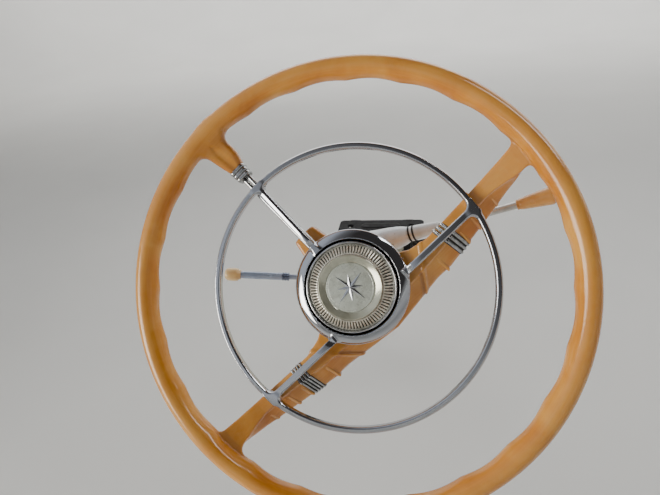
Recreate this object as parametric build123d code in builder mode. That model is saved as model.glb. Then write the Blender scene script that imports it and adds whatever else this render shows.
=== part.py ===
from build123d import *
import os
from math import radians, sin, cos, sqrt

os.makedirs("parts", exist_ok=True)

# Steering wheel and column of a 1950s car, with its steering box and drop arm.
# Millimetres.  +X is the driver's right, +Y forward, +Z up.  The origin is the centre
# of the steering box's mounting face, which bears on the frame rail.

# ---------------------------------------------------------------- driving dimensions
RAKE = 32.0            # steering axis above the horizontal, degrees
WHEEL_TURN = 136.0     # how far the wheel stands turned clockwise from straight ahead
STEER_RATIO = 18.2     # turns of the wheel for one turn of the drop arm
AXIS_X = 48.0          # steering axis from the mounting face
ORIGIN_TO_WORM = 25.0  # mounting centre to the worm axis, square to that axis
WORM_TO_RIM = 870.0    # worm centre to the rim's centre plane
SECTOR_DROP = 62.0     # worm axis to the sector shaft's axis

RIM_R, RIM_A, RIM_B = 202.3, 10.2, 12.7      # rim: pitch radius, half width, half depth
RING_R, RING_A, RING_B = 133.0, 3.2, 4.6     # horn ring, the same three
RING_Z = 14.0                                # horn ring's plane below the rim's plane
SHAFT_R = 11.0
JACKET_R, JACKET_T = 24.0, 2.0
JACKET_TOP, JACKET_END = 118.0, 802.0        # depths below the rim's plane
HUB_BACK = 78.0
HEAD_TOP = 84.0
SHIFT_X, SHIFT_Y, SHIFT_R = 8.0, 41.5, 8.0   # gear-change rod beside the column
SHIFT_END = 764.0

# ---------------------------------------------------------------- frames
si, co = sin(radians(RAKE)), cos(radians(RAKE))
AX = Vector(0, -co, si)                      # up the column, to the driver
UP = Vector(0, si, co)                       # square to it, upwards
RIGHT = Vector(1, 0, 0)
WORM = Vector(AXIS_X, 0, 0) + UP * ORIGIN_TO_WORM
SECTOR = WORM - UP * SECTOR_DROP
RIM_C = WORM + AX * WORM_TO_RIM

t = radians(-WHEEL_TURN)
WX = RIGHT * cos(t) + UP * sin(t)            # wheel's own right
WY = RIGHT * -sin(t) + UP * cos(t)           # wheel's own up


def col(depth, x=0.0, y=0.0):
    """plane square to the column, this far below the rim's plane, facing the driver"""
    return Plane(origin=RIM_C - AX * depth + RIGHT * x + UP * y, x_dir=RIGHT, z_dir=AX)


def whl(depth=0.0):
    """the same, turned with the wheel"""
    return Plane(origin=RIM_C - AX * depth, x_dir=WX, z_dir=AX)


def whl_at(x, y, depth, normal, xdir):
    """plane at a place of the wheel, with its own normal"""
    return Plane(origin=RIM_C + WX * x + WY * y - AX * depth, x_dir=xdir, z_dir=normal)


def radial():
    """plane through the wheel's axis: x is the radius, y runs up the axis"""
    return Plane(origin=RIM_C, x_dir=WX, z_dir=WX.cross(AX))


def colpt(x, y, depth):
    return RIM_C + RIGHT * x + UP * y - AX * depth


def save(builder, name):
    builder.part.label = name
    export_step(builder.part, "parts/" + name + ".step")


# ================================================================ the wheel
with BuildPart() as wheel_rim:
    with BuildSketch(radial()):
        with Locations((RIM_R, 0)):
            Ellipse(RIM_A, RIM_B)
    revolve(axis=Axis(RIM_C, AX))
save(wheel_rim, "wheel_rim")

with BuildPart() as hub_shell:
    with BuildSketch(radial()):
        with BuildLine():
            Polyline((SHAFT_R, -33), (49.5, -33), (50, -40), (46, -58), (38, -HUB_BACK), (SHAFT_R, -HUB_BACK), close=True)
        make_face()
    revolve(axis=Axis(RIM_C, AX))
save(hub_shell, "hub_shell")

with BuildPart() as steering_shaft:
    with BuildSketch(col(WORM_TO_RIM - 60)):
        Circle(SHAFT_R)
    extrude(amount=WORM_TO_RIM - 60 - 33)
save(steering_shaft, "steering_shaft")

# side spokes, one row per station along the wheel's X:
#            x      y_low  y_high  z_front  z_back  (z is depth below the rim's plane)
SPOKE_ROWS = [
    (38.0,   4.0,  52.0,  36.0,  64.0),
    (56.0,   9.0,  51.0,  28.0,  60.0),
    (80.0,  14.0,  46.0,  24.5,  54.0),
    (110.0, 15.5,  42.0,  23.0,  47.0),
    (150.0, 14.0,  37.0,  16.0,  36.0),
    (180.0, 11.0,  35.0,   5.0,  20.0),
    (198.0,  8.0,  38.0,   0.0,  10.5),
]
BAND_X0, BAND_X1, BAND_T = 90.0, 103.0, 1.6


def spoke_row(x):
    for a, b in zip(SPOKE_ROWS[:-1], SPOKE_ROWS[1:]):
        if a[0] <= x <= b[0]:
            k = (x - a[0]) / (b[0] - a[0])
            return [p + (q - p) * k for p, q in zip(a, b)]


spokes = {}
for side, sgn in (("left", -1), ("right", 1)):
    with BuildPart() as spoke:
        for x, y0, y1, z0, z1 in SPOKE_ROWS:
            with BuildSketch(whl_at(sgn * x, (y0 + y1) / 2, (z0 + z1) / 2, WX, WY)):
                RectangleRounded(y1 - y0, z1 - z0, 4.5)
        loft(ruled=True)
        add(wheel_rim.part, mode=Mode.SUBTRACT)
        add(hub_shell.part, mode=Mode.SUBTRACT)
        add(steering_shaft.part, mode=Mode.SUBTRACT)
    spokes[side] = spoke
    save(spoke, side + "_spoke")
    with BuildPart() as band:
        for x in (BAND_X0, BAND_X1):
            x, y0, y1, z0, z1 = spoke_row(x)
            with BuildSketch(whl_at(sgn * x, (y0 + y1) / 2, (z0 + z1) / 2, WX, WY)):
                RectangleRounded(y1 - y0 + 2 * BAND_T, z1 - z0 + 2 * BAND_T, 4.5 + BAND_T)
        loft(ruled=True)
        add(spoke.part, mode=Mode.SUBTRACT)
    save(band, side + "_spoke_band")

# horn push in the hub, outside to inside: rows of (radius, height) round each section
HORN_ROWS = {
    "horn_bezel": [(44, -19), (46.8, -19), (47.0, -13.4), (48.6, -13.1), (54.8, -17.8), (54.8, -24), (52.5, -30), (44, -30)],
    "fluted_ring": [(30.5, -7.4), (40.2, -14.0), (42, -14.3), (42.7, -12.4), (44.2, -12.5), (46.4, -17.9), (46.4, -18.8), (44, -19), (44, -30), (30.5, -30)],
    "bevel_ring": [(22.3, -8.8), (29.6, -6.1), (30.5, -6.8), (30.5, -30), (22.3, -30)],
    "horn_disc": [(0, -9.0), (22.3, -9.0), (22.3, -30), (0, -30)],
}
horn_parts = {}
for name, pts in HORN_ROWS.items():
    with BuildPart() as ring_piece:
        with BuildSketch(radial()):
            with BuildLine():
                Polyline(*pts, close=True)
            make_face()
        revolve(axis=Axis(RIM_C, AX))
    horn_parts[name] = ring_piece
    save(ring_piece, name)

# lower spoke: two rods, a ribbed collar and the moulded foot on the rim
ROD_X, ROD_R, ROD_Z = 2.3, 2.1, 21.6
with BuildPart() as lower_spoke_rods:
    with BuildSketch(whl_at(0, -158, ROD_Z, WY, WX)):
        with Locations((-ROD_X, 0), (ROD_X, 0)):
            Circle(ROD_R)
    extrude(amount=158 - 53)
    add(horn_parts["horn_bezel"].part, mode=Mode.SUBTRACT)
save(lower_spoke_rods, "lower_spoke_rods")

with BuildPart() as lower_spoke_collar:
    # rows: y, half width, half depth of the three ribs and the grooves between
    for y, hw in ((-163.0, 8.3), (-160.5, 8.6), (-156.0, 8.4), (-152.0, 8.0)):
        with BuildSketch(whl_at(0, y, ROD_Z - 2.0, WY, WX)):
            RectangleRounded(2 * hw, 14.0, 4.0)
    loft(ruled=True)
    add(lower_spoke_rods.part, mode=Mode.SUBTRACT)
save(lower_spoke_collar, "lower_spoke_collar")

with BuildPart() as lower_spoke_foot:
    # rows: y, half width, depth of the centre, half depth
    for y, hw, z, hd in ((-163.0, 7.0, 19.6, 6.0), (-176.0, 8.5, 15.0, 7.0), (-188.0, 12.0, 9.0, 7.5), (-198.0, 18.0, 4.0, 7.0)):
        with BuildSketch(whl_at(0, y, z, WY, WX)):
            RectangleRounded(2 * hw, 2 * hd, 4.0)
    loft(ruled=True)
    add(wheel_rim.part, mode=Mode.SUBTRACT)
    add(lower_spoke_rods.part, mode=Mode.SUBTRACT)
save(lower_spoke_foot, "lower_spoke_foot")

# a plain eight-rayed star stands on the disc
with BuildPart() as hub_motif:
    with BuildSketch(whl(9.0)):
        with BuildLine():
            Polyline(*[((15.0 if k % 2 == 0 else 6.0) * cos(radians(22.5 * k)),
                        (15.0 if k % 2 == 0 else 6.0) * sin(radians(22.5 * k))) for k in range(16)], close=True)
        make_face()
    extrude(amount=1.4)
save(hub_motif, "hub_motif")

ARM_Y, ARM_W = 25.0, 5.6
with BuildPart() as horn_arms:
    # mounting ring under the bezel
    with BuildSketch(whl(33)):
        Circle(52)
        Circle(40, mode=Mode.SUBTRACT)
    extrude(amount=3)
    # arms: profile along the arm, (distance out, height)
    ARM = [(44, -33), (44, -30), (50.0, -30), (50.0, -17), (54, -11.2), (RING_R - 2, -10.2), (RING_R - 2, -17.6), (60, -19), (54.5, -25), (53.5, -33)]
    for sgn in (-1, 1):
        with BuildSketch(whl_at(0, ARM_Y + sgn * ARM_W / 2, 0, WX.cross(AX) if sgn == 1 else AX.cross(WX), WX * sgn)):
            with BuildLine():
                Polyline(*[(x - 2.4, h) for x, h in ARM], close=True)
            make_face()
        extrude(amount=ARM_W)
    with BuildSketch(whl_at(-2.6, 0, 0, WX, WY * -1)):
        with BuildLine():
            Polyline(*[(x, -h) for x, h in ARM], close=True)
        make_face()
    extrude(amount=5.2)
    add(horn_parts["horn_bezel"].part, mode=Mode.SUBTRACT)
    add(lower_spoke_rods.part, mode=Mode.SUBTRACT)
    for piece in spokes.values():
        add(piece.part, mode=Mode.SUBTRACT)
save(horn_arms, "horn_arms")

with BuildPart() as horn_ring:
    with BuildSketch(radial()):
        with Locations((RING_R, -RING_Z)):
            Ellipse(RING_A, RING_B)
    revolve(axis=Axis(RIM_C, AX))
    add(horn_arms.part, mode=Mode.SUBTRACT)
save(horn_ring, "horn_ring")

# ================================================================ the column
with BuildPart() as column_jacket:
    with BuildSketch(col(JACKET_END)):
        Circle(JACKET_R)
        Circle(JACKET_R - JACKET_T, mode=Mode.SUBTRACT)
    extrude(amount=JACKET_END - JACKET_TOP)
save(column_jacket, "column_jacket")

with BuildPart() as column_head:
    with BuildSketch(radial()):
        with BuildLine():
            Polyline((14.5, -HEAD_TOP), (34, -HEAD_TOP), (37, -HEAD_TOP - 3), (37, -120), (28.5, -140),
                     (JACKET_R, -140), (JACKET_R, -JACKET_TOP), (14.5, -JACKET_TOP), close=True)
        make_face()
    revolve(axis=Axis(RIM_C, AX))
save(column_head, "column_head")

# signal lever: places on one line, (x, depth) with y rising outwards
SIG0, SIG1, SIG2, SIG3 = (-34.0, 3.0, 99.2), (-85.5, 5.4, 86.4), (-134.0, 7.6, 74.2), (-151.0, 8.4, 70.0)


def along(p, q):
    """plane at p facing q, for pieces that run along a lever"""
    a, b = colpt(*p), colpt(*q)
    return Plane(origin=a, x_dir=UP.cross(b - a), z_dir=b - a)


def gap(p, q):
    return (colpt(*q) - colpt(*p)).length


with BuildPart() as signal_lever:
    with BuildSketch(along(SIG0, SIG3)):
        Circle(3.1)
    extrude(amount=gap(SIG0, SIG1))
    with BuildSketch(along(SIG1, SIG3)):
        Circle(4.1)
    extrude(amount=gap(SIG1, SIG2))
    add(column_head.part, mode=Mode.SUBTRACT)
save(signal_lever, "signal_lever")

with BuildPart() as signal_collar:
    with BuildSketch(along(SIG1, SIG3)):
        Circle(5.2)
    extrude(amount=4, both=True)
    add(signal_lever.part, mode=Mode.SUBTRACT)
save(signal_collar, "signal_collar")

with BuildPart() as signal_knob:
    with BuildSketch(Plane(origin=colpt(*SIG2), x_dir=along(SIG2, SIG3).z_dir, z_dir=along(SIG2, SIG3).x_dir)):
        with BuildLine():
            Polyline((0, 0), (0, 5.0), (3, 6.9), (8.5, 7.3), (14, 6.2), (17, 3.6), (17.6, 0), close=True)
        make_face()
    revolve(axis=Axis(colpt(*SIG2), along(SIG2, SIG3).z_dir))
    add(signal_lever.part, mode=Mode.SUBTRACT)
save(signal_knob, "signal_knob")


# gear lever: one straight line, given by its x in the column's frame
def lever(x):
    return (x, 46.7 + 0.258 * (x - 28), 105 - 0.2477 * (x - 28))


with BuildPart() as shift_rod:
    with BuildSketch(col(SHIFT_END, SHIFT_X, SHIFT_Y)):
        Circle(SHIFT_R)
    extrude(amount=SHIFT_END - 128)
save(shift_rod, "shift_rod")

with BuildPart() as gear_lever_boss:
    with BuildSketch(col(128, SHIFT_X, SHIFT_Y)):
        Circle(13)
    extrude(amount=34)
    with BuildSketch(along(lever(8), lever(60))):
        Circle(15.0)
    with BuildSketch(along(lever(51), lever(60))):
        Circle(8.6)
    loft(ruled=True)
    add(column_head.part, mode=Mode.SUBTRACT)
save(gear_lever_boss, "gear_lever_boss")

# gear lever pieces: name, x at the start and end, radius at the start and end
for name, xa, xb, ra, rb in (("gear_lever_grommet", 51.0, 58.5, 8.9, 8.9), ("gear_lever_tube", 58.5, 82.0, 8.0, 5.6),
                             ("gear_knob", 157.0, 190.5, 5.2, 9.0)):
    with BuildPart() as piece:
        with BuildSketch(along(lever(xa), lever(190))):
            Circle(ra)
        with BuildSketch(along(lever(xb), lever(250))):
            Circle(rb)
        loft(ruled=True)
    save(piece, name)
with BuildPart() as gear_lever_rod:
    with BuildSketch(along(lever(82), lever(190))):
        Circle(3.8)
    extrude(amount=gap(lever(82), lever(157)))
save(gear_lever_rod, "gear_lever_rod")
# bracket under the dashboard: clamp halves round the jacket, legs to a level plate
DASH_D, DASH_W = 330.0, 34.0
DASH_C = RIM_C - AX * DASH_D
PLATE_Z = DASH_C.Z + 78.0
PLATE_HOLES, HOLE_R = 90.0, 4.3
with BuildPart() as dash_bracket:
    with BuildSketch(col(DASH_D + DASH_W / 2)):
        Circle(28)
        with Locations((0, 2.5)):
            Rectangle(92, 5)
        Circle(JACKET_R, mode=Mode.SUBTRACT)
        with Locations((0, -20)):
            Rectangle(100, 40, mode=Mode.SUBTRACT)
    extrude(amount=DASH_W)
    for x in (-44.0, 40.0):
        with BuildSketch(Plane(origin=(AXIS_X + x, 0, 0), x_dir=(0, 1, 0), z_dir=(1, 0, 0))):
            with BuildLine():
                a = DASH_C + AX * (DASH_W / 2)
                b = DASH_C - AX * (DASH_W / 2)
                Polyline((a.Y, a.Z), (b.Y, b.Z), (DASH_C.Y + 24, PLATE_Z), (DASH_C.Y - 14, PLATE_Z), close=True)
            make_face()
        extrude(amount=4)
    with BuildSketch(Plane.XY.offset(PLATE_Z)):
        with Locations((AXIS_X, DASH_C.Y + 5)):
            Rectangle(126, 38)
            with GridLocations(PLATE_HOLES, 1, 2, 1):
                Circle(HOLE_R, mode=Mode.SUBTRACT)
    extrude(amount=4)
save(dash_bracket, "dash_bracket")

with BuildPart() as dash_clamp:
    with BuildSketch(col(DASH_D + 13)):
        Circle(27.5)
        with Locations((0, -2)):
            Rectangle(84, 4)
        Circle(JACKET_R, mode=Mode.SUBTRACT)
        with Locations((0, 20)):
            Rectangle(100, 40, mode=Mode.SUBTRACT)
    extrude(amount=26)
save(dash_clamp, "dash_clamp")

# toe-board plate and its rubber seal
FLOOR_D, FLOOR_PCD, FLOOR_HOLE_R = 640.0, 122.0, 3.4
with BuildPart() as floor_plate:
    with BuildSketch(col(FLOOR_D)):
        Circle(74)
        Circle(JACKET_R + 1, mode=Mode.SUBTRACT)
        with Locations((SHIFT_X, SHIFT_Y)):
            Circle(SHIFT_R + 1.5, mode=Mode.SUBTRACT)
        with PolarLocations(FLOOR_PCD / 2, 4, 45):
            Circle(FLOOR_HOLE_R, mode=Mode.SUBTRACT)
    extrude(amount=3)
save(floor_plate, "floor_plate")

with BuildPart() as floor_seal:
    with BuildSketch(col(FLOOR_D - 3)):
        with BuildLine():
            CenterArc((0, 0), 36, 0, 360)
            CenterArc((SHIFT_X, SHIFT_Y), 16, 0, 360)
        make_hull()
        Circle(JACKET_R, mode=Mode.SUBTRACT)
        with Locations((SHIFT_X, SHIFT_Y)):
            Circle(SHIFT_R, mode=Mode.SUBTRACT)
    extrude(amount=16, taper=14)
save(floor_seal, "floor_seal")

# lower bearing of the gear-change rod, and its arm
with BuildPart() as shift_bearing:
    with BuildSketch(col(744)):
        with BuildLine():
            CenterArc((0, 0), 29, 0, 360)
            CenterArc((SHIFT_X, SHIFT_Y), 13, 0, 360)
        make_hull()
        Circle(JACKET_R, mode=Mode.SUBTRACT)
        with Locations((SHIFT_X, SHIFT_Y)):
            Circle(SHIFT_R, mode=Mode.SUBTRACT)
    extrude(amount=14)
save(shift_bearing, "shift_bearing")

ARM_END = (SHIFT_X + 66.0, SHIFT_Y + 20.0)
SHIFT_EYE_R = 4.1
with BuildPart() as shift_arm:
    with BuildSketch(col(761)):
        with BuildLine():
            CenterArc((SHIFT_X, SHIFT_Y), 14, 0, 360)
            CenterArc(ARM_END, 9, 0, 360)
        make_hull()
        with Locations(ARM_END):
            Circle(SHIFT_EYE_R, mode=Mode.SUBTRACT)
        with Locations((SHIFT_X, SHIFT_Y)):
            Circle(SHIFT_R, mode=Mode.SUBTRACT)
    extrude(amount=8)
save(shift_arm, "shift_arm")

# ================================================================ the steering box
FLANGE_T, FLANGE_Y, FLANGE_Z = 12.0, 104.0, 92.0     # mounting holes are this far apart
MOUNT_R = 6.2
BOX_X1 = 92.0
SECTOR_R, BORE_CLEAR, BOSS_R = 15.0, 0.3, 26.0
NECK_R, NECK_TOP = 30.0, 784.0
WORM_BACK = 58.0
BODY_R = 27.5          # the body's lower end, round the sector shaft

YZ = Plane(origin=(0, 0, 0), x_dir=(0, 1, 0), z_dir=(1, 0, 0))
with BuildPart() as mounting_flange:
    with BuildSketch(YZ):
        RectangleRounded(FLANGE_Y + 28, FLANGE_Z + 28, 12)
        with Locations((SECTOR.Y, SECTOR.Z)):
            Circle(BOSS_R + 0.2, mode=Mode.SUBTRACT)
        with GridLocations(FLANGE_Y, FLANGE_Z, 2, 2):
            Circle(MOUNT_R, mode=Mode.SUBTRACT)
    extrude(amount=FLANGE_T)
save(mounting_flange, "mounting_flange")

with BuildPart() as sector_boss:
    with BuildSketch(YZ.offset(FLANGE_T)):
        with Locations((SECTOR.Y, SECTOR.Z)):
            Circle(BOSS_R)
            Circle(SECTOR_R + BORE_CLEAR, mode=Mode.SUBTRACT)
    extrude(amount=-44 - FLANGE_T)
save(sector_boss, "sector_boss")

with BuildPart() as gear_box:
    with BuildSketch(YZ.offset(FLANGE_T)):
        with BuildLine():
            CenterArc((WORM.Y, WORM.Z), 37, 0, 360)
            CenterArc((SECTOR.Y, SECTOR.Z), BODY_R, 0, 360)
        make_hull()
    extrude(amount=BOX_X1 - FLANGE_T - 6)
    with BuildSketch(col(WORM_TO_RIM + WORM_BACK)):
        Circle(35)
    extrude(amount=2 * WORM_BACK)
    with BuildSketch(col(WORM_TO_RIM - WORM_BACK)):
        Circle(NECK_R)
    extrude(amount=WORM_TO_RIM - WORM_BACK - NECK_TOP)
    # bores: sector shaft, column jacket, steering shaft
    with BuildSketch(YZ.offset(FLANGE_T)):
        with Locations((SECTOR.Y, SECTOR.Z)):
            Circle(SECTOR_R + BORE_CLEAR)
    extrude(amount=60 - FLANGE_T, mode=Mode.SUBTRACT)
    with BuildSketch(col(JACKET_END)):
        Circle(JACKET_R)
    extrude(amount=60, mode=Mode.SUBTRACT)
    with BuildSketch(col(WORM_TO_RIM - 50)):
        Circle(SHAFT_R + BORE_CLEAR)
    extrude(amount=60, mode=Mode.SUBTRACT)
save(gear_box, "gear_box")

with BuildPart() as box_end_cover:
    with BuildSketch(col(WORM_TO_RIM + WORM_BACK + 9)):
        Circle(35.6)
    extrude(amount=9)
    add(gear_box.part, mode=Mode.SUBTRACT)
save(box_end_cover, "box_end_cover")

with BuildPart() as box_side_cover:
    with BuildSketch(YZ.offset(BOX_X1 - 6)):
        with BuildLine():
            CenterArc((WORM.Y, WORM.Z), 22, 0, 360)
            CenterArc((SECTOR.Y, SECTOR.Z), BODY_R, 0, 360)
        make_hull()
    extrude(amount=8)
    with BuildSketch(YZ.offset(BOX_X1 + 2)):
        with Locations((SECTOR.Y, SECTOR.Z)):
            RegularPolygon(11, 6)
    extrude(amount=10)
    add(gear_box.part, mode=Mode.SUBTRACT)
save(box_side_cover, "box_side_cover")

with BuildPart() as jacket_clamp:
    with BuildSketch(col(NECK_TOP + 20)):
        Circle(NECK_R + 3.5)
        with Locations((0, -NECK_R - 8)):
            Rectangle(18, 22)
        Circle(NECK_R, mode=Mode.SUBTRACT)
    extrude(amount=18)
save(jacket_clamp, "jacket_clamp")

# ---------------------------------------------------------------- drop arm
ARM_X0, ARM_X1 = -58.0, -80.0
ARM_LEN, EYE_R = 150.0, 8.0
REST = radians(WHEEL_TURN / STEER_RATIO)
ARM_C = (SECTOR.Y + ARM_LEN * sin(REST), SECTOR.Z - ARM_LEN * cos(REST))
with BuildPart() as sector_shaft:
    with BuildSketch(YZ.offset(-94)):
        with Locations((SECTOR.Y, SECTOR.Z)):
            Circle(SECTOR_R)
    extrude(amount=94 + 59)
save(sector_shaft, "sector_shaft")

with BuildPart() as pitman_arm:
    with BuildSketch(YZ.offset(ARM_X1)):
        with BuildLine():
            CenterArc((SECTOR.Y, SECTOR.Z), 27, 0, 360)
            CenterArc(ARM_C, 17, 0, 360)
        make_hull()
        with Locations(ARM_C):
            Circle(EYE_R, mode=Mode.SUBTRACT)
        with Locations((SECTOR.Y, SECTOR.Z)):
            Circle(SECTOR_R, mode=Mode.SUBTRACT)
    extrude(amount=ARM_X0 - ARM_X1)
save(pitman_arm, "pitman_arm")

with BuildPart() as pitman_nut:
    with BuildSketch(YZ.offset(ARM_X1 - 12)):
        with Locations((SECTOR.Y, SECTOR.Z)):
            RegularPolygon(22, 6)
            Circle(SECTOR_R, mode=Mode.SUBTRACT)
    extrude(amount=12)
save(pitman_nut, "pitman_nut")

print("RIM_C", tuple(RIM_C), "WORM", tuple(WORM), "SECTOR", tuple(SECTOR))
print("DASH", tuple(DASH_C), PLATE_Z, "ARM_C", ARM_C, "FLOOR", tuple(RIM_C - AX * FLOOR_D))
print("shift eye", tuple(RIM_C - AX * 757 + RIGHT * ARM_END[0] + UP * ARM_END[1]))
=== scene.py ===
import math
import bpy
import numpy as np
from mathutils import Matrix, Vector


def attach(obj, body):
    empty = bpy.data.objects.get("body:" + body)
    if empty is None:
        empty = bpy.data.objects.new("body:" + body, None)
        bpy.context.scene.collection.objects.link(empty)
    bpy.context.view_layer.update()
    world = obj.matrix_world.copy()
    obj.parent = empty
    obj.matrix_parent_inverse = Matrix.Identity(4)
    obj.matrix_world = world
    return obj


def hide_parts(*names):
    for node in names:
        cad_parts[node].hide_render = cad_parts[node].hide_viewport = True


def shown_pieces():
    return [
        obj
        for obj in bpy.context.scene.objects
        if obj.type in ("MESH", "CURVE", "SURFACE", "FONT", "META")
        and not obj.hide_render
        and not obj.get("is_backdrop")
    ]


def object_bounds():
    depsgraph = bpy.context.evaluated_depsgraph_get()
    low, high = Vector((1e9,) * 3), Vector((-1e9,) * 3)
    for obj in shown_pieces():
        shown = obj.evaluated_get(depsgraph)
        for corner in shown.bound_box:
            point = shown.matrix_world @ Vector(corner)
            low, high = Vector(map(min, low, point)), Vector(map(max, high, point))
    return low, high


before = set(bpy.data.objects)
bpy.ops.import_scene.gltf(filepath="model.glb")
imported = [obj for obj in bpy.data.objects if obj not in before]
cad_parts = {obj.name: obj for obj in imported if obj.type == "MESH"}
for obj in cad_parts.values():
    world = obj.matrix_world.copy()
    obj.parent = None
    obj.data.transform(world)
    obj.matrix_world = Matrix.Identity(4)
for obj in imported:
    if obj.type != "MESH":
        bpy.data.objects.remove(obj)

CAD_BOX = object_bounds()

# ---------------------------------------------------------------- the shared frame
# the same numbers as the part's own: millimetres, then metres for every mesh
RAKE = math.radians(32.0)
TURN = math.radians(-136.0)
si, co = math.sin(RAKE), math.cos(RAKE)
AX = np.array([0.0, -co, si])
UP = np.array([0.0, si, co])
RIGHT = np.array([1.0, 0.0, 0.0])
WORM = np.array([48.0, 0, 0]) + UP * 25.0
SECTOR = WORM - UP * 62.0
RIM_C = WORM + AX * 870.0
WX = RIGHT * math.cos(TURN) + UP * math.sin(TURN)
WY = RIGHT * -math.sin(TURN) + UP * math.cos(TURN)
SET = math.radians(1.1)     # the moulding stands a degree off the horn ring's arms
MX = WX * math.cos(SET) + WY * math.sin(SET)
MY = WX * -math.sin(SET) + WY * math.cos(SET)

# a frame is (origin, x, y, z) in the row's millimetres
COL = (RIM_C, RIGHT, UP, AX)
WHL = (RIM_C, WX, WY, AX)
MLD = (RIM_C, MX, MY, AX)
ROW = (np.zeros(3), np.array([1.0, 0, 0]), np.array([0, 1.0, 0]), np.array([0, 0, 1.0]))


def place(pts, fr):
    pts = np.asarray(pts, float)
    o, x, y, z = fr
    return (o + pts[:, :1] * x + pts[:, 1:2] * y + pts[:, 2:3] * z) / 1000.0


def turn(v, fr):
    o, x, y, z = fr
    v = np.asarray(v, float)
    return v[:, :1] * x + v[:, 1:2] * y + v[:, 2:3] * z


def unit(v):
    v = np.asarray(v, float)
    return v / np.linalg.norm(v)


# ---------------------------------------------------------------- meshes
def build(name, pts, faces, fr, body, mat, replaces=(), normals=None, attrs=None, sharp=None):
    me = bpy.data.meshes.new(name)
    faces = [list(map(int, f)) for f in faces] if not isinstance(faces, np.ndarray) else faces
    if isinstance(faces, np.ndarray):
        n, k = faces.shape
        me.vertices.add(len(pts))
        me.vertices.foreach_set("co", place(pts, fr).astype(np.float32).ravel())
        me.loops.add(n * k)
        me.loops.foreach_set("vertex_index", faces.astype(np.int32).ravel())
        me.polygons.add(n)
        me.polygons.foreach_set("loop_start", np.arange(0, n * k, k, dtype=np.int32))
        me.polygons.foreach_set("loop_total", np.full(n, k, np.int32))
        me.update(calc_edges=True)
    else:
        me.from_pydata([tuple(p) for p in place(pts, fr)], [], faces)
        me.update()
    me.polygons.foreach_set("use_smooth", np.ones(len(me.polygons), bool))
    at = me.attributes.new("wp", "FLOAT_VECTOR", "POINT")
    at.data.foreach_set("vector", np.asarray(pts, np.float32).ravel())
    for key, val in (attrs or {}).items():
        val = np.asarray(val, np.float32)
        if val.ndim == 1:
            a = me.attributes.new(key, "FLOAT", "POINT")
            a.data.foreach_set("value", val)
        else:
            a = me.attributes.new(key, "FLOAT_VECTOR", "POINT")
            a.data.foreach_set("vector", val.ravel())
    if normals is not None:
        me.normals_split_custom_set_from_vertices(turn(normals, fr).tolist())
    elif sharp:
        me.set_sharp_from_angle(angle=math.radians(sharp))
    me.validate(clean_customdata=False)
    ob = bpy.data.objects.new(name, me)
    bpy.context.scene.collection.objects.link(ob)
    me.materials.append(mat)
    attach(ob, body)
    if replaces:
        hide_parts(*replaces)
    return ob


def rounded(pts, radii, step=18.0, closed=False):
    """polyline with each corner rounded; radii is one number or one per point"""
    pts = [np.array(p, float) for p in pts]
    n = len(pts)
    if not hasattr(radii, "__len__"):
        radii = [radii] * n
    out = []
    for i, p in enumerate(pts):
        if (not closed and i in (0, n - 1)) or radii[i] <= 0:
            out.append(p)
            continue
        a, b = pts[i - 1], pts[(i + 1) % n]
        u, v = a - p, b - p
        lu, lv = np.linalg.norm(u), np.linalg.norm(v)
        u, v = u / lu, v / lv
        c = float(np.clip(u @ v, -1, 1))
        ang = math.acos(c)
        if ang > math.pi - 0.02:
            out.append(p)
            continue
        d = radii[i] / math.tan(ang / 2)
        lim = 0.49 * min(lu, lv)
        r = radii[i]
        if d > lim:
            r *= lim / d
            d = lim
        cen = p + unit(u + v) * (r / math.sin(ang / 2))
        s, e = p + u * d - cen, p + v * d - cen
        tot = math.pi - ang
        k = max(2, int(math.degrees(tot) / step) + 1)
        cr = s[0] * e[1] - s[1] * e[0]
        for j in range(k + 1):
            w = tot * j / k * (1 if cr > 0 else -1)
            out.append(cen + np.array([s[0] * math.cos(w) - s[1] * math.sin(w), s[0] * math.sin(w) + s[1] * math.cos(w)]))
    return np.array(out)


def lathe(profile, seg=96, closed=False, mod=None):
    """turned about the local z axis; profile rows are (radius, height)"""
    prof = np.asarray(profile, float)
    n = len(prof)
    a = np.arange(seg) * 2 * math.pi / seg
    pts = np.zeros((n, seg, 3))
    for i, (r, h) in enumerate(prof):
        rr = np.full(seg, r)
        hh = np.full(seg, h)
        if mod is not None:
            rr, hh = mod(i, rr, hh, a)
        pts[i, :, 0] = rr * np.cos(a)
        pts[i, :, 1] = rr * np.sin(a)
        pts[i, :, 2] = hh
    faces = []
    m = n if closed else n - 1
    for i in range(m):
        j = (i + 1) % n
        for k in range(seg):
            l = (k + 1) % seg
            faces.append((i * seg + k, i * seg + l, j * seg + l, j * seg + k))
    P = pts.reshape(-1, 3)
    P, F = merge_axis(P, faces)
    return P, F


def merge_axis(P, F, tol=1e-6):
    """points that fall on each other become one, and flat faces go"""
    key = np.round(P / 1e-4).astype(np.int64)
    uniq, inv = np.unique(key, axis=0, return_inverse=True)
    inv = inv.ravel()
    first = np.full(len(uniq), -1)
    for i in range(len(P) - 1, -1, -1):
        first[inv[i]] = i
    out = []
    for f in F:
        g = []
        for v in f:
            w = int(inv[v])
            if w not in g:
                g.append(w)
        if len(g) >= 3:
            out.append(tuple(g))
    return P[first], out


# ---------------------------------------------------------------- distance fields
def smin(a, b, k):
    h = np.clip(0.5 + 0.5 * (b - a) / k, 0, 1)
    return b * (1 - h) + a * h - k * h * (1 - h)


def smax(a, b, k):
    return -smin(-a, -b, k)


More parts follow.
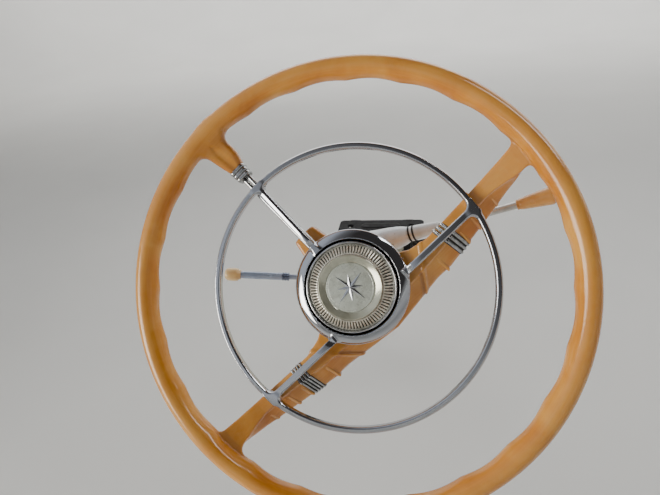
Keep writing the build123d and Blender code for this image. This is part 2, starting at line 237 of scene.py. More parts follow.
def net(f, lo, hi, g, band=None):
    """closed surface where f = 0, as quads, from samples g apart; f takes x, y, z arrays"""
    lo, hi = np.array(lo, float), np.array(hi, float)
    n = np.ceil((hi - lo) / g).astype(int) + 1
    B = 8
    nb = np.ceil((n - 1) / B).astype(int)
    n = nb * B + 1
    F = np.full(n, 1e3, np.float32)
    # coarse samples pick the blocks that can hold the surface
    cs = [lo[i] + (np.arange(nb[i]) + 0.5) * B * g for i in range(3)]
    X, Y, Z = np.meshgrid(*cs, indexing="ij")
    C = f(X, Y, Z)
    reach = 0.5 * B * g * math.sqrt(3) * 1.25 + 1.0
    if band:
        reach = band
    near = np.argwhere(np.abs(C) < reach)
    sgn = np.sign(C)
    for i in range(3):
        sgn = np.repeat(sgn, B, axis=i)
    F[:-1, :-1, :-1] = np.where(sgn < 0, -1e3, 1e3)
    off = np.arange(B + 1)
    for s in range(0, len(near), 400):
        blk = near[s:s + 400]
        ix = (blk[:, 0, None] * B + off)[:, :, None, None]
        iy = (blk[:, 1, None] * B + off)[:, None, :, None]
        iz = (blk[:, 2, None] * B + off)[:, None, None, :]
        x = lo[0] + ix * g + 0.0 * iy + 0.0 * iz
        y = lo[1] + iy * g + 0.0 * ix + 0.0 * iz
        z = lo[2] + iz * g + 0.0 * ix + 0.0 * iy
        F[ix, iy, iz] = f(x, y, z)
    S = F < 0
    # one point in each cell that the surface crosses
    inside = np.zeros(np.array(S.shape) - 1, np.int8)
    for dx in (0, 1):
        for dy in (0, 1):
            for dz in (0, 1):
                inside += S[dx:S.shape[0] - 1 + dx, dy:S.shape[1] - 1 + dy, dz:S.shape[2] - 1 + dz]
    cells = np.argwhere((inside > 0) & (inside < 8))
    idx = np.full(inside.shape, -1, np.int64)
    idx[tuple(cells.T)] = np.arange(len(cells))
    acc = np.zeros((len(cells), 3))
    cnt = np.zeros(len(cells))
    corner = np.array([(i, j, k) for i in (0, 1) for j in (0, 1) for k in (0, 1)])
    for a in range(8):
        for b in range(a + 1, 8):
            if np.abs(corner[a] - corner[b]).sum() != 1:
                continue
            va = F[tuple((cells + corner[a]).T)].astype(float)
            vb = F[tuple((cells + corner[b]).T)].astype(float)
            m = (va < 0) != (vb < 0)
            va, vb = np.clip(va, -5 * g, 5 * g), np.clip(vb, -5 * g, 5 * g)
            t = np.where(m, va / np.where(m, va - vb, 1), 0)
            p = corner[a] + t[:, None] * (corner[b] - corner[a])
            acc[m] += p[m]
            cnt[m] += 1
    P = lo + (cells + acc / cnt[:, None]) * g
    quads = []
    for axis in range(3):
        sl_a = [slice(None)] * 3
        sl_b = [slice(None)] * 3
        sl_a[axis] = slice(0, -1)
        sl_b[axis] = slice(1, None)
        A, Bq = S[tuple(sl_a)], S[tuple(sl_b)]
        e = np.argwhere(A != Bq)
        o1, o2 = (axis + 1) % 3, (axis + 2) % 3
        ok = (e[:, o1] > 0) & (e[:, o2] > 0) & (e[:, o1] < S.shape[o1] - 1) & (e[:, o2] < S.shape[o2] - 1)
        e = e[ok]
        flip = A[tuple(e.T)]
        d1, d2 = np.zeros(3, int), np.zeros(3, int)
        d1[o1], d2[o2] = 1, 1
        q = np.stack([idx[tuple((e - d1 - d2).T)], idx[tuple((e - d2).T)], idx[tuple(e.T)], idx[tuple((e - d1).T)]], 1)
        q = np.where(flip[:, None], q, q[:, ::-1])
        quads.append(q)
    Q = np.concatenate(quads)

    def grad(P, h=0.05):
        G = np.zeros_like(P)
        for i in range(3):
            d = np.zeros(3)
            d[i] = h
            a, b = P + d, P - d
            G[:, i] = (f(a[:, 0], a[:, 1], a[:, 2]) - f(b[:, 0], b[:, 1], b[:, 2])) / (2 * h)
        return G

    for _ in range(3):
        v = f(P[:, 0], P[:, 1], P[:, 2])
        G = grad(P)
        s = v / np.maximum((G * G).sum(1), 0.05)
        P = P - np.clip(s, -0.6 * g, 0.6 * g)[:, None] * G
    N = grad(P, 0.12)
    N /= np.maximum(np.linalg.norm(N, axis=1), 1e-9)[:, None]
    return P, Q, N


def worn(f, P, N, d=3.0, e=1.4):
    """per point: how open the surface is (1 flat, 0 in a crease), and how near an edge (1 on it)"""
    a, b = P + N * d, P - N * e
    cav = np.clip(f(a[:, 0], a[:, 1], a[:, 2]) / d, 0, 1)
    edge = np.clip(1 + f(b[:, 0], b[:, 1], b[:, 2]) / e, 0, 1)
    return {"cav": cav, "edge": edge}


# ---------------------------------------------------------------- node materials
def material(name, metallic=0.0, rough=0.4, **consts):
    m = bpy.data.materials.new(name)
    m.use_nodes = True
    nt = m.node_tree
    bsdf = nt.nodes["Principled BSDF"]
    bsdf.inputs["Metallic"].default_value = metallic
    bsdf.inputs["Roughness"].default_value = rough
    for k, v in consts.items():
        bsdf.inputs[k.replace("_", " ")].default_value = v
    return m, nt, bsdf


def srgb(r, g, b):
    f = lambda c: (c / 255 / 12.92) if c / 255 <= 0.04045 else ((c / 255 + 0.055) / 1.055) ** 2.4
    return (f(r), f(g), f(b), 1.0)


class Nodes:
    """short names for the few nodes that the materials use"""

    def __init__(self, nt):
        self.nt = nt

    def add(self, kind, **props):
        n = self.nt.nodes.new(kind)
        for k, v in props.items():
            setattr(n, k, v)
        return n

    def link(self, a, b):
        self.nt.links.new(a, b)
        return b

    def coords(self, attr="wp", scale=(1, 1, 1), loc=(0, 0, 0), rot=(0, 0, 0)):
        if attr == "obj":
            src = self.add("ShaderNodeTexCoord").outputs["Object"]
            k = 1000.0
        else:
            src = self.add("ShaderNodeAttribute", attribute_name=attr).outputs["Vector"]
            k = 1.0
        mp = self.add("ShaderNodeMapping")
        mp.inputs["Scale"].default_value = [s * k for s in scale]
        mp.inputs["Location"].default_value = loc
        mp.inputs["Rotation"].default_value = rot
        self.link(src, mp.inputs["Vector"])
        return mp.outputs["Vector"]

    def noise(self, vec, scale=1.0, detail=2.0, rough=0.5, distort=0.0):
        n = self.add("ShaderNodeTexNoise")
        n.inputs["Scale"].default_value = scale
        n.inputs["Detail"].default_value = detail
        n.inputs["Roughness"].default_value = rough
        n.inputs["Distortion"].default_value = distort
        self.link(vec, n.inputs["Vector"])
        return n.outputs["Fac"]

    def voronoi(self, vec, scale=1.0, feature="F1", out="Distance", rand=1.0):
        n = self.add("ShaderNodeTexVoronoi", feature=feature)
        n.inputs["Scale"].default_value = scale
        n.inputs["Randomness"].default_value = rand
        self.link(vec, n.inputs["Vector"])
        return n.outputs[out]

    def ramp(self, fac, stops, interp="LINEAR"):
        n = self.add("ShaderNodeValToRGB")
        n.color_ramp.interpolation = interp
        el = n.color_ramp.elements
        while len(el) < len(stops):
            el.new(0.5)
        for e, (p, c) in zip(el, stops):
            e.position = p
            e.color = c if hasattr(c, "__len__") else (c, c, c, 1)
        self.link(fac, n.inputs["Fac"])
        return n.outputs["Color"]

    def math(self, op, a, b=None, clamp=False):
        n = self.add("ShaderNodeMath", operation=op, use_clamp=clamp)
        for i, v in enumerate((a, b)):
            if v is None:
                continue
            if isinstance(v, (int, float)):
                n.inputs[i].default_value = v
            else:
                self.link(v, n.inputs[i])
        return n.outputs[0]

    def mix(self, fac, a, b, mode="MIX"):
        n = self.add("ShaderNodeMix", data_type="RGBA", blend_type=mode)
        for sock, v in ((n.inputs[0], fac), (n.inputs[6], a), (n.inputs[7], b)):
            if isinstance(v, (int, float)):
                sock.default_value = v
            elif hasattr(v, "__len__"):
                sock.default_value = v
            else:
                self.link(v, sock)
        return n.outputs[2]

    def bump(self, height, strength=0.3, dist=0.001, prev=None):
        n = self.add("ShaderNodeBump")
        n.inputs["Strength"].default_value = strength
        n.inputs["Distance"].default_value = dist
        self.link(height, n.inputs["Height"])
        if prev is not None:
            self.link(prev, n.inputs["Normal"])
        return n.outputs["Normal"]

    def pointiness(self):
        return self.add("ShaderNodeNewGeometry").outputs["Pointiness"]


def plastic(name, lo, mid, hi, rough=(0.17, 0.32), attr="wp", net_attrs=True):
    """old moulded plastic: cloudy colour, faint flow lines, painted shade and grime in the creases, painted highlights
    on the edges, a painted sheen on the faces turned to the driver
    """
    m, nt, b = material(name, Specular_IOR_Level=0.38)
    N = Nodes(nt)
    flow = N.noise(N.coords("flow", (0.02, 0.55, 0.55)), 1.0, 3.0, 0.5, 0.2) if net_attrs else N.noise(N.coords(attr, (0.04, 0.12, 0.12)), 1.0, 3.0, 0.5, 0.2)
    cloud = N.noise(N.coords(attr, (0.016,) * 3), 1.0, 4.0, 0.55, 0.5)
    fac = N.math("ADD", N.math("MULTIPLY", flow, 0.16), N.math("MULTIPLY", cloud, 0.84))
    col = N.ramp(fac, [(0.34, lo), (0.50, mid), (0.64, hi)])
    # small dark specks
    sp = N.voronoi(N.coords(attr, (0.13,) * 3, (3.1, 1.7, 0.4)), 1.0)
    speck = N.ramp(sp, [(0.03, 1.0), (0.06, 0.0)])
    sel = N.ramp(N.noise(N.coords(attr, (0.05,) * 3, (9, 4, 1)), 1.0, 1.0), [(0.56, 0.0), (0.63, 1.0)])
    col = N.mix(N.math("MULTIPLY", N.math("MULTIPLY", speck, sel), 0.5), col, (lo[0] * 0.35, lo[1] * 0.3, lo[2] * 0.3, 1))
    grime_rough = None
    if net_attrs:
        cav = N.add("ShaderNodeAttribute", attribute_name="cav").outputs["Fac"]
        edge = N.add("ShaderNodeAttribute", attribute_name="edge").outputs["Fac"]
        brk = N.noise(N.coords(attr, (0.22,) * 3, (2, 2, 8)), 1.0, 4.0, 0.65)
        cv = N.math("ADD", cav, N.math("MULTIPLY", N.math("SUBTRACT", brk, 0.5), 0.35), clamp=True)
        # darker in the creases: painted shade, with grime that also roughens them
        gr = N.ramp(cv, [(0.45, 0.62), (0.90, 0.0)])
        col = N.mix(gr, col, (lo[0] * 0.42, lo[1] * 0.33, lo[2] * 0.26, 1))
        # painted sheen: paler tan where the surface faces the driver
        painted_sheen = N.add("ShaderNodeAttribute", attribute_name="painted_sheen").outputs["Fac"]
        painted_sheen = N.math("MULTIPLY", painted_sheen, N.ramp(brk, [(0.25, 0.30), (0.75, 0.62)]))
        col = N.mix(painted_sheen, col, srgb(216, 160, 88))
        # painted highlight: paler, yellower plastic along the edges
        painted_edge_highlight = N.ramp(edge, [(0.30, 0.0), (0.80, 0.55), (1.0, 0.92)])
        col = N.mix(painted_edge_highlight, col, (min(1, hi[0] * 1.10), min(1, hi[1] * 1.12), min(1, hi[2] * 1.15), 1))
        grime_rough = N.math("MULTIPLY", gr, 0.35)
    N.link(col, b.inputs["Base Color"])
    rg = N.noise(N.coords(attr, (0.07,) * 3, (1, 2, 3)), 1.0, 5.0, 0.65)
    rr = N.ramp(rg, [(0.3, rough[0]), (0.7, rough[1])])
    if grime_rough is not None:
        rr = N.math("ADD", rr, grime_rough)
    N.link(rr, b.inputs["Roughness"])
    peel = N.noise(N.coords(attr, (0.20,) * 3), 1.0, 2.0, 0.5)
    fine = N.noise(N.coords(attr, (1.6, 1.6, 1.6)), 1.0, 3.0, 0.6)
    n1 = N.bump(peel, 0.10, 0.0012)
    N.link(N.bump(fine, 0.04, 0.0002, n1), b.inputs["Normal"])
    b.inputs["Subsurface Weight"].default_value = 0.10
    b.inputs["Subsurface Radius"].default_value = (0.008, 0.0035, 0.001)
    b.inputs["Subsurface Scale"].default_value = 1.0
    b.inputs["Coat Weight"].default_value = 0.48
    b.inputs["Coat Roughness"].default_value = 0.055
    return m


def chrome(name, attr="wp", tint=(0.66, 0.67, 0.69, 1), rough=(0.035, 0.11), pits=0.5, k=1.0):
    """bright plate with a faint haze, fine scratches and small dark pits"""
    m, nt, b = material(name, metallic=1.0)
    N = Nodes(nt)
    haze = N.noise(N.coords(attr, (0.06 * k,) * 3), 1.0, 4.0, 0.6)
    pv = N.voronoi(N.coords(attr, (0.55 * k,) * 3), 1.0)
    pit = N.ramp(pv, [(0.05, 1.0), (0.11, 0.0)])
    where = N.ramp(N.noise(N.coords(attr, (0.045 * k,) * 3, (5, 1, 7)), 1.0, 3.0, 0.6), [(0.52, 0.0), (0.66, 1.0)])
    pm = N.math("MULTIPLY", N.math("MULTIPLY", pit, where), pits)
    base = N.mix(N.ramp(haze, [(0.35, 0.0), (0.7, 0.35)]), tint, (tint[0] * 0.86, tint[1] * 0.84, tint[2] * 0.80, 1))
    N.link(N.mix(pm, base, (0.10, 0.08, 0.06, 1)), b.inputs["Base Color"])
    rr = N.ramp(haze, [(0.35, rough[0]), (0.72, rough[1])])
    N.link(N.math("ADD", rr, N.math("MULTIPLY", pm, 0.5)), b.inputs["Roughness"])
    scr = N.noise(N.coords(attr, (0.4 * k, 6.0 * k, 0.4 * k), (0, 0, 0), (0.4, 0.3, 0.8)), 1.0, 2.0, 0.6)
    n1 = N.bump(scr, 0.015, 0.0002)
    N.link(N.bump(pm, 0.25, 0.0002, n1), b.inputs["Normal"])
    return m


AMBER = plastic("aged_amber_plastic", srgb(200, 120, 34), srgb(220, 144, 50), srgb(232, 164, 72), rough=(0.13, 0.27))
CHROME = chrome("bright_chrome", tint=(0.55, 0.565, 0.60, 1))

# ---------------------------------------------------------------- the wheel's moulding
RIM_R, RIM_A, RIM_B = 202.3, 10.2, 12.7
RING_R, RING_A, RING_B, RING_Z = 133.0, 3.2, 4.6, 14.0

# stations along a side spoke: distance out, lower edge, crease, upper edge (all across the
# spoke), depth of the front, of the upper edge and of the back below the rim's plane
SPOKE = np.array([
    #  x     low   crease  top   front  ztop   back
    (0.0,   -6.0,  38.0,  59.0,  34.0,  50.0,  66.0),
    (30.0,  -2.0,  37.0,  55.5,  31.0,  48.0,  66.0),
    (50.0,   5.0,  36.0,  52.8,  27.0,  45.0,  62.0),
    (62.0,  12.5,  35.0,  51.2,  24.5,  42.0,  59.0),
    (80.0,  16.6,  33.6,  51.4,  23.0,  40.5,  54.0),
    (98.0,  16.4,  31.2,  48.7,  22.0,  38.5,  50.0),
    (125.0, 15.2,  28.6,  44.7,  20.6,  35.5,  44.0),
    (148.0, 14.2,  28.0,  41.1,  16.5,  30.0,  37.0),
    (160.0, 13.6,  29.6,  38.8,  12.9,  25.4,  31.6),
    (172.0, 13.0,  32.4,  36.9,   9.1,  19.6,  25.8),
    (184.0, 12.0,  33.9,  34.6,   4.8,  13.0,  18.5),
    (200.0, 10.0,  34.0,  34.6,   1.2,   8.0,  12.0),
])
# across the skirt: distance out, how far the rib stands proud
RIBS = ((75.0, 1.9), (107.0, 1.1), (123.0, 1.6), (148.0, 1.6))
GRIPS, GRIP_PHASE, GRIP_DEEP = 24, math.radians(1.0), 1.9


def f_rim(x, y, h):
    r = np.hypot(x, y)
    q = r - RIM_R
    k0 = np.sqrt((q / RIM_A) ** 2 + (h / RIM_B) ** 2) + 1e-9
    k1 = np.sqrt((q / RIM_A ** 2) ** 2 + (h / RIM_B ** 2) ** 2) + 1e-9
    d = k0 * (k0 - 1) / k1
    th = np.arctan2(y, x) - GRIP_PHASE
    s = np.abs(np.sin(th * GRIPS / 2))
    c = 1 - np.sqrt(s * s + 0.02)
    l = np.hypot(q, h) + 1e-6
    w = np.clip((-0.86 * q - 0.5 * h) / l, 0, 1)
    w = w * w * (3 - 2 * w)
    return d - GRIP_DEEP * (c - 0.32) * w


STEP = 2.0


def spoke_at(X):
    return [np.interp(X, SPOKE[:, 0], SPOKE[:, i]) for i in range(1, 7)]


def f_section(X, y, z, off=0.0, skirt=0.0, edge=2.6):
    """the spoke's section, grown by off all round and by skirt on its upper slope only"""
    lo, cr, tp, zf, zt, zb = spoke_at(X)
    L = np.hypot(tp - cr, zt - zf)
    a = zf - z - off
    b = lo + 0.16 * (z - zf) - y - off
    # plateau, then a small step down to the sloping skirt
    st = STEP * np.clip((204.0 - X) / 40.0, 0, 1)
    c = ((y - cr) * (zt - zf) - (z - zf - st) * (tp - cr)) / L - off - skirt
    d = y - tp - off - skirt * 0.9
    e = z - zb - off + 0.10 * np.abs(y - 30)
    f = smin(smax(a, y - cr - off, 1.1), smax(a, c, 1.0), 1.6)
    f = smax(f, b, edge)
    f = smax(f, smax(d, e, 5.0), 3.0)
    return f


def f_side(x, y, h, s):
    X = np.abs(x)
    z = -h
    f = f_section(X, y, z)
    f = smax(f, X - 203.0, 2.0)
    # slanting ridge where the skirt runs into the hub
    r = f_section(X, y, z, 0.0, 1.5, 2.6)
    r = smax(r, np.abs((X - 60.0) * 0.80 + (y - 34.0) * 0.60) - 0.8, 0.9)
    return smin(f, r, 2.4)


def f_hub(x, y, h):
    r = np.hypot(x, y)
    z = -h
    R = np.interp(z, [30, 36, 44, 60, 72, 78], [48.5, 50.0, 49.6, 45.5, 40.5, 37.0])
    f = smax(r - R, 31.5 - z, 1.0)
    f = smax(f, z - 78.0, 3.0)
    # snout that the two rods come out of
    k = np.clip((-y - 40) / 32.0, 0, 1)
    hw, z0, z1 = 17.5 - 5.5 * k, 27.0 + 1.0 * k, 50.0 - 8.0 * k
    s = smax(np.abs(x) - hw, smax(z0 - z, z - z1, 4.0), 4.0)
    s = smax(s, -72.0 - y, 3.5)
    s = smax(s, y + 20.0, 3.0)
    return smin(f, s, 5.0)


def f_foot(x, y, h):
    z = -h
    k = np.clip((-y - 163) / 28.0, 0, 1.3)
    # it widens at once, more on the one side than on the other
    hw = np.where(x > 0, 7.4 + 5.0 * k ** 0.8, 7.4 + 4.2 * k ** 0.7 + 2.8 * np.sin(math.pi * np.clip(k, 0, 1)))
    zc = 19.8 - 12.5 * np.clip(k, 0, 1) ** 0.9
    hd = 6.6 + 1.2 * k
    s = smax(np.abs(x) - hw, np.abs(z - zc) - hd, 6.5)
    # shallow hollow down the middle of the front
    gr = np.hypot(x, z - (zc - hd - 2.5 - 0.6 * k)) - 3.4
    s = smax(s, -gr, 3.2)
    s = smax(s, y + 163.0, 1.0)
    return smax(s, -204.0 - y, 1.0)


def f_moulding(x, y, h):
    z = -h
    rim = f_rim(x, y, h)
    X = np.abs(x)
    arm = smin(f_side(x, y, h, 1), f_hub(x, y, h), 7.0)
    foot = f_foot(x, y, h)
    # the flares lie behind the rim's inner edge, which stays crisp in front of them
    # the flare is widest where the skirt of the one spoke meets the rim
    wide = np.clip((y - 24.0) / 10.0, 0, 1) * np.clip((x - 60.0) / 40.0, 0, 1)
    fl = smin(rim, arm, 8.0 + 7.5 * wide)
    lo, cr, tp, zf, zt, zb = spoke_at(X)
    skin = zf - 0.4 + np.clip(np.abs(y - 26.0) - 12.0, 0, 40) * 0.16 - z
    fl = smax(fl, np.maximum(skin, 1.0 - z), 1.2)
    ff = smin(rim, foot, 11.5 - 2.5 * np.tanh(x / 4.0))
    f = smin(rim, fl, 2.0)
    f = np.where(z > zf - 3, f, np.minimum(f, 1e3))
    f = smin(f, ff, 0.7)
    f = smin(f, arm, 0.7)
    return smin(f, foot, 0.7)


def flow_coords(P):
    """along the rim or the spoke, then across it twice: for streaks"""
    r = np.hypot(P[:, 0], P[:, 1])
    th = np.arctan2(P[:, 1], P[:, 0])
    on_rim = np.clip((r - 180.0) / 10.0, 0, 1)
    a = np.stack([th * RIM_R, r, P[:, 2]], 1)
    b = np.stack([P[:, 0], P[:, 1] * 0.9, P[:, 2]], 1)
    w = (on_rim > 0.5)[:, None]
    return np.where(w, a, b)


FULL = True
SEAM = 189.0


def f_outer(x, y, h):
    return smax(f_moulding(x, y, h), SEAM - 2.5 - np.hypot(x, y), 0.1)


def f_inner(x, y, h):
    return smax(f_moulding(x, y, h), np.hypot(x, y) - SEAM, 0.1)


def moulded(name, f, lo, hi, g, nodes):
    P, Q, NN = net(f, lo, hi, g)
    at = worn(f_moulding, P, NN)
    at["flow"] = flow_coords(P)
    # how squarely each point faces the driver, for the plastic's painted sheen
    at["painted_sheen"] = np.clip((NN[:, 2] - 0.70) / 0.26, 0, 1)
    build(name, P, Q, MLD, "wheel", AMBER, nodes, normals=NN, attrs=at)


moulded("rim_moulding", f_outer, (-216, -216, -32), (216, 216, 15), 1.6 if FULL else 2.6, ("wheel_rim",))
moulded("hub_and_spokes_moulding", f_inner, (-192, -192, -82), (192, 66, 8), 0.95 if FULL else 1.9, ("left_spoke", "right_spoke", "lower_spoke_foot", "hub_shell"))

# ---------------------------------------------------------------- horn ring with its arms and bezel
ARM_Y, ARM_HW = 25.0, 3.3


def f_ring(x, y, h):
    """flat-topped ring with bevelled edges"""
    q = np.hypot(x, y) - RING_R
    k = h + RING_Z
    bar = smax(np.abs(q) - RING_A, smax(k - 4.3, -k - 4.2, 1.5), 1.4)
    bev = (np.abs(q) * 0.78 + k * 0.63) - 4.15
    und = (np.abs(q) * 0.62 - k * 0.78) - 4.1
    return smax(smax(bar, bev, 0.5), und, 1.2)


def f_arms(x, y, h):
    X = np.abs(x)
    # side arms
    top = -10.6 + 0.010 * (X - 60)
    yy = np.abs(y - ARM_Y)
    k = h - top
    a = smax(yy - ARM_HW, smax(k, -k - 7.2, 1.2), 1.2)
    a = smax(a, (yy * 0.75 + (k) * 0.66) - 1.90, 0.45)
    a = smax(a, smax(X - (RING_R - 2.0), 46.0 - X, 0.6), 0.6)
    # lower arm, roof-shaped
    k2 = h + 10.4
    b = smax(X - 2.9, -k2 - 7.0, 1.2)
    b = smax(b, k2 + 0.42 * X, 0.5)
    b = smax(b, smax(-y - (RING_R - 1.5), y + 46.0, 0.6), 0.6)
    return a, b


def f_bezel(x, y, h):
    r = np.hypot(x, y)
    # one bright slope that falls outwards, a little crowned
    k = np.clip((r - 45.4) / 9.4, 0, 1.2)
    top = -13.0 - 1.4 * k - 3.2 * k * k
    f = smax(h - top, r - 54.8, 0.7)
    f = smax(f, 45.4 - r, 0.5)
    low = smax(f, -24.5 - h, 1.0)
    # cone under it, down to the spokes' moulding
    cone = smax(smax(r - np.interp(h, [-33, -24], [51.5, 54.6]), h + 23.5, 0.3), smax(45.2 - r, -33.0 - h, 0.3), 0.3)
    return smin(low, cone, 0.8)


def f_chrome(x, y, h):
    ring = f_ring(x, y, h)
    a, b = f_arms(x, y, h)
    bz = f_bezel(x, y, h)
    arms = np.minimum(a, b)
    f = smin(ring, arms, 7.5)
    f = smin(f, bz, 3.6)
    # the blends stay in the thickness of the arms and ring
    r = np.hypot(x, y)
    ceil = np.interp(r, [46, 49, 55, 60, 70, 126, 136], [-12.3, -12.6, -12.9, -11.3, -10.3, -9.6, -9.4])
    f = smax(f, smax(h - ceil, -h - np.interp(r, [55, 66], [33.0, 19.4]), 0.5), 0.6)
    return smax(f, 45.2 - r, 0.4)


P, Q, NN = net(f_chrome, (-138, -138, -35), (138, 138, -8), 0.85 if FULL else 1.6, band=None)
build("horn_ring_and_arms", P, Q, WHL, "wheel", CHROME, ("horn_ring", "horn_arms", "horn_bezel"), normals=NN,
      attrs=worn(f_chrome, P, NN, 2.0, 1.0))


# ---------------------------------------------------------------- bright bands, rods and collar
def unit_rows(v):
    return v / np.maximum(np.linalg.norm(v, axis=-1, keepdims=True), 1e-9)


def offset_poly(pts, d):
    """closed polygon moved outwards by d along its corners' mean normals (counter-clockwise in y, z)"""
    P = np.asarray(pts, float)
    e = unit_rows(np.roll(P, -1, 0) - P)
    n = np.stack([e[:, 1], -e[:, 0]], 1)
    m = np.roll(n, 1, 0)
    k = 1 + (n * m).sum(1)
    return P + (n + m) / k[:, None] * d


def fillet_poly(pts, radii, k=5):
    """each corner rounded with the same number of points, so that sections join up"""
    P = np.asarray(pts, float)
    n, out = len(P), []
    for i in range(n):
        p, a, b = P[i], P[i - 1], P[(i + 1) % n]
        u, v = a - p, b - p
        lu, lv = np.linalg.norm(u), np.linalg.norm(v)
        u, v = u / lu, v / lv
        ang = math.acos(float(np.clip(u @ v, -1, 1)))
        d = min(radii[i] / math.tan(ang / 2), 0.45 * lu, 0.45 * lv)
        r = d * math.tan(ang / 2)
        c = p + unit(u + v) * (r / math.sin(ang / 2))
        s, e = p + u * d - c, p + v * d - c
        tot = math.pi - ang
        sg = 1 if s[0] * e[1] - s[1] * e[0] > 0 else -1
        for j in range(k + 1):
            w = sg * tot * j / k
            out.append(c + np.array([s[0] * math.cos(w) - s[1] * math.sin(w), s[0] * math.sin(w) + s[1] * math.cos(w)]))
    return np.array(out)


def spoke_outline(X, off):
    """closed section of a spoke at X as (y, depth) points, grown by off"""
    lo, cr, tp, zf, zt, zb = [float(v) for v in spoke_at(X)]
    st = STEP * min(1.0, max(0.0, (204.0 - X) / 40.0))
    back = lambda y: zb - 0.10 * abs(y - 30)
    pts = [(lo, zf), (cr, zf), (cr + 0.5, zf + st), (tp, zt + st), (tp, back(tp)), (lo + 0.16 * (zb - zf), back(lo))]
    pts = offset_poly(pts, off)
    return fillet_poly(pts, [2.6, 0.9, 0.8, 2.6, 4.0, 3.0])


BAND_X, BAND_HW = 97.0, 6.8


def band_at(sgn, ribs, slant):
    """ribbed band that is wrapped round a spoke; the ribs lean outwards by slant across it"""
    u = np.linspace(-1, 1, ribs * (14 if FULL else 8) + 1)
    rib = np.abs(np.sin((u + 1) * math.pi / 2 * ribs))
    offs = 0.35 + 1.45 * np.clip(rib, 0, 1) ** 1.6 * np.where(np.abs(u) > 1 - 0.4 / ribs, 0.9, 1.0)
    rows = [(-1.0, -0.9)] + list(zip(u, offs)) + [(1.0, -0.9)]
    pts, deep, ref = [], [], spoke_outline(BAND_X, 0.0)
    lo, cr, tp = [float(v) for v in spoke_at(BAND_X)[:3]]
    s = np.clip((ref[:, 0] - lo) / (tp - lo), 0, 1)
    for uu, off in rows:
        X = BAND_X + uu * BAND_HW + slant * (s - 0.35)
        # the section changes slowly, so three of them are enough to blend between
        xs = np.array([X.min(), 0.5 * (X.min() + X.max()), X.max() + 1e-6])
        sec = np.array([spoke_outline(v, off) for v in xs])
        w = (X - xs[0]) / (xs[2] - xs[0]) * 2
        i = np.clip(w.astype(int), 0, 1)
        t = (w - i)[:, None]
        k = np.arange(len(X))
        yz = sec[i, k] * (1 - t) + sec[i + 1, k] * t
        pts.append(np.stack([sgn * X, yz[:, 0], -yz[:, 1]], 1))
        # low in the grooves, high on the ribs: drives the band's painted shade and grime
        deep.append(np.full(len(X), min(1.0, max(0.0, (off - 0.4) / 1.2))))
    P = np.array(pts)
    n, m = P.shape[:2]
    F = []
    for a in range(n - 1):
        for b in range(m):
            c = (b + 1) % m
            q = (a * m + b, a * m + c, (a + 1) * m + c, (a + 1) * m + b)
            F.append(q if sgn < 0 else q[::-1])
    ends = [tuple(range(m)), tuple((n - 1) * m + b for b in range(m))[::-1]]
    F += [e[::-1] if sgn < 0 else e for e in ends]
    return P.reshape(-1, 3), F, np.concatenate(deep)


def grimy_chrome(name, attr="wp"):
    """plate with painted shade and black grime in its grooves, pits and a dull bloom"""
    m, nt, b = material(name, metallic=1.0)
    N = Nodes(nt)
    bloom = N.noise(N.coords(attr, (0.16,) * 3), 1.0, 5.0, 0.65)
    base = N.ramp(bloom, [(0.34, (0.30, 0.30, 0.29, 1)), (0.52, (0.46, 0.47, 0.48, 1)), (0.70, (0.66, 0.67, 0.68, 1))])
    g = N.add("ShaderNodeAttribute", attribute_name="g").outputs["Fac"]
    gg = N.math("ADD", g, N.math("MULTIPLY", N.math("SUBTRACT", bloom, 0.5), 0.6), clamp=True)
    # near black low in the grooves: painted shade, with grime
    low = N.ramp(gg, [(0.18, 1.0), (0.72, 0.0)])
    pit = N.ramp(N.voronoi(N.coords(attr, (0.75,) * 3), 1.0), [(0.08, 1.0), (0.17, 0.0)])
    where = N.ramp(N.noise(N.coords(attr, (0.08,) * 3, (5, 1, 7)), 1.0, 3.0, 0.6), [(0.46, 0.0), (0.60, 0.8)])
    pm = N.math("MULTIPLY", pit, where)
    dirt_and_groove_shade = N.math("MAXIMUM", low, pm)
    N.link(N.mix(dirt_and_groove_shade, base, (0.022, 0.019, 0.015, 1)), b.inputs["Base Color"])
    N.link(N.math("SUBTRACT", 1.0, N.math("MULTIPLY", dirt_and_groove_shade, 0.7)), b.inputs["Metallic"])
    N.link(N.math("ADD", N.ramp(bloom, [(0.35, 0.10), (0.7, 0.26)]), N.math("MULTIPLY", dirt_and_groove_shade, 0.4)), b.inputs["Roughness"])
    N.link(N.bump(N.math("SUBTRACT", 1.0, pm), 0.35, 0.0003), b.inputs["Normal"])
    return m


BAND = grimy_chrome("pitted_chrome")
for side, sgn, ribs, slant in (("left", -1, 3, 5.0), ("right", 1, 4, 3.0)):
    P, F, deep = band_at(sgn, ribs, slant)
    build(side + "_band", P, F, MLD, "wheel", BAND, (side + "_spoke_band",), sharp=50, attrs={"g": deep})


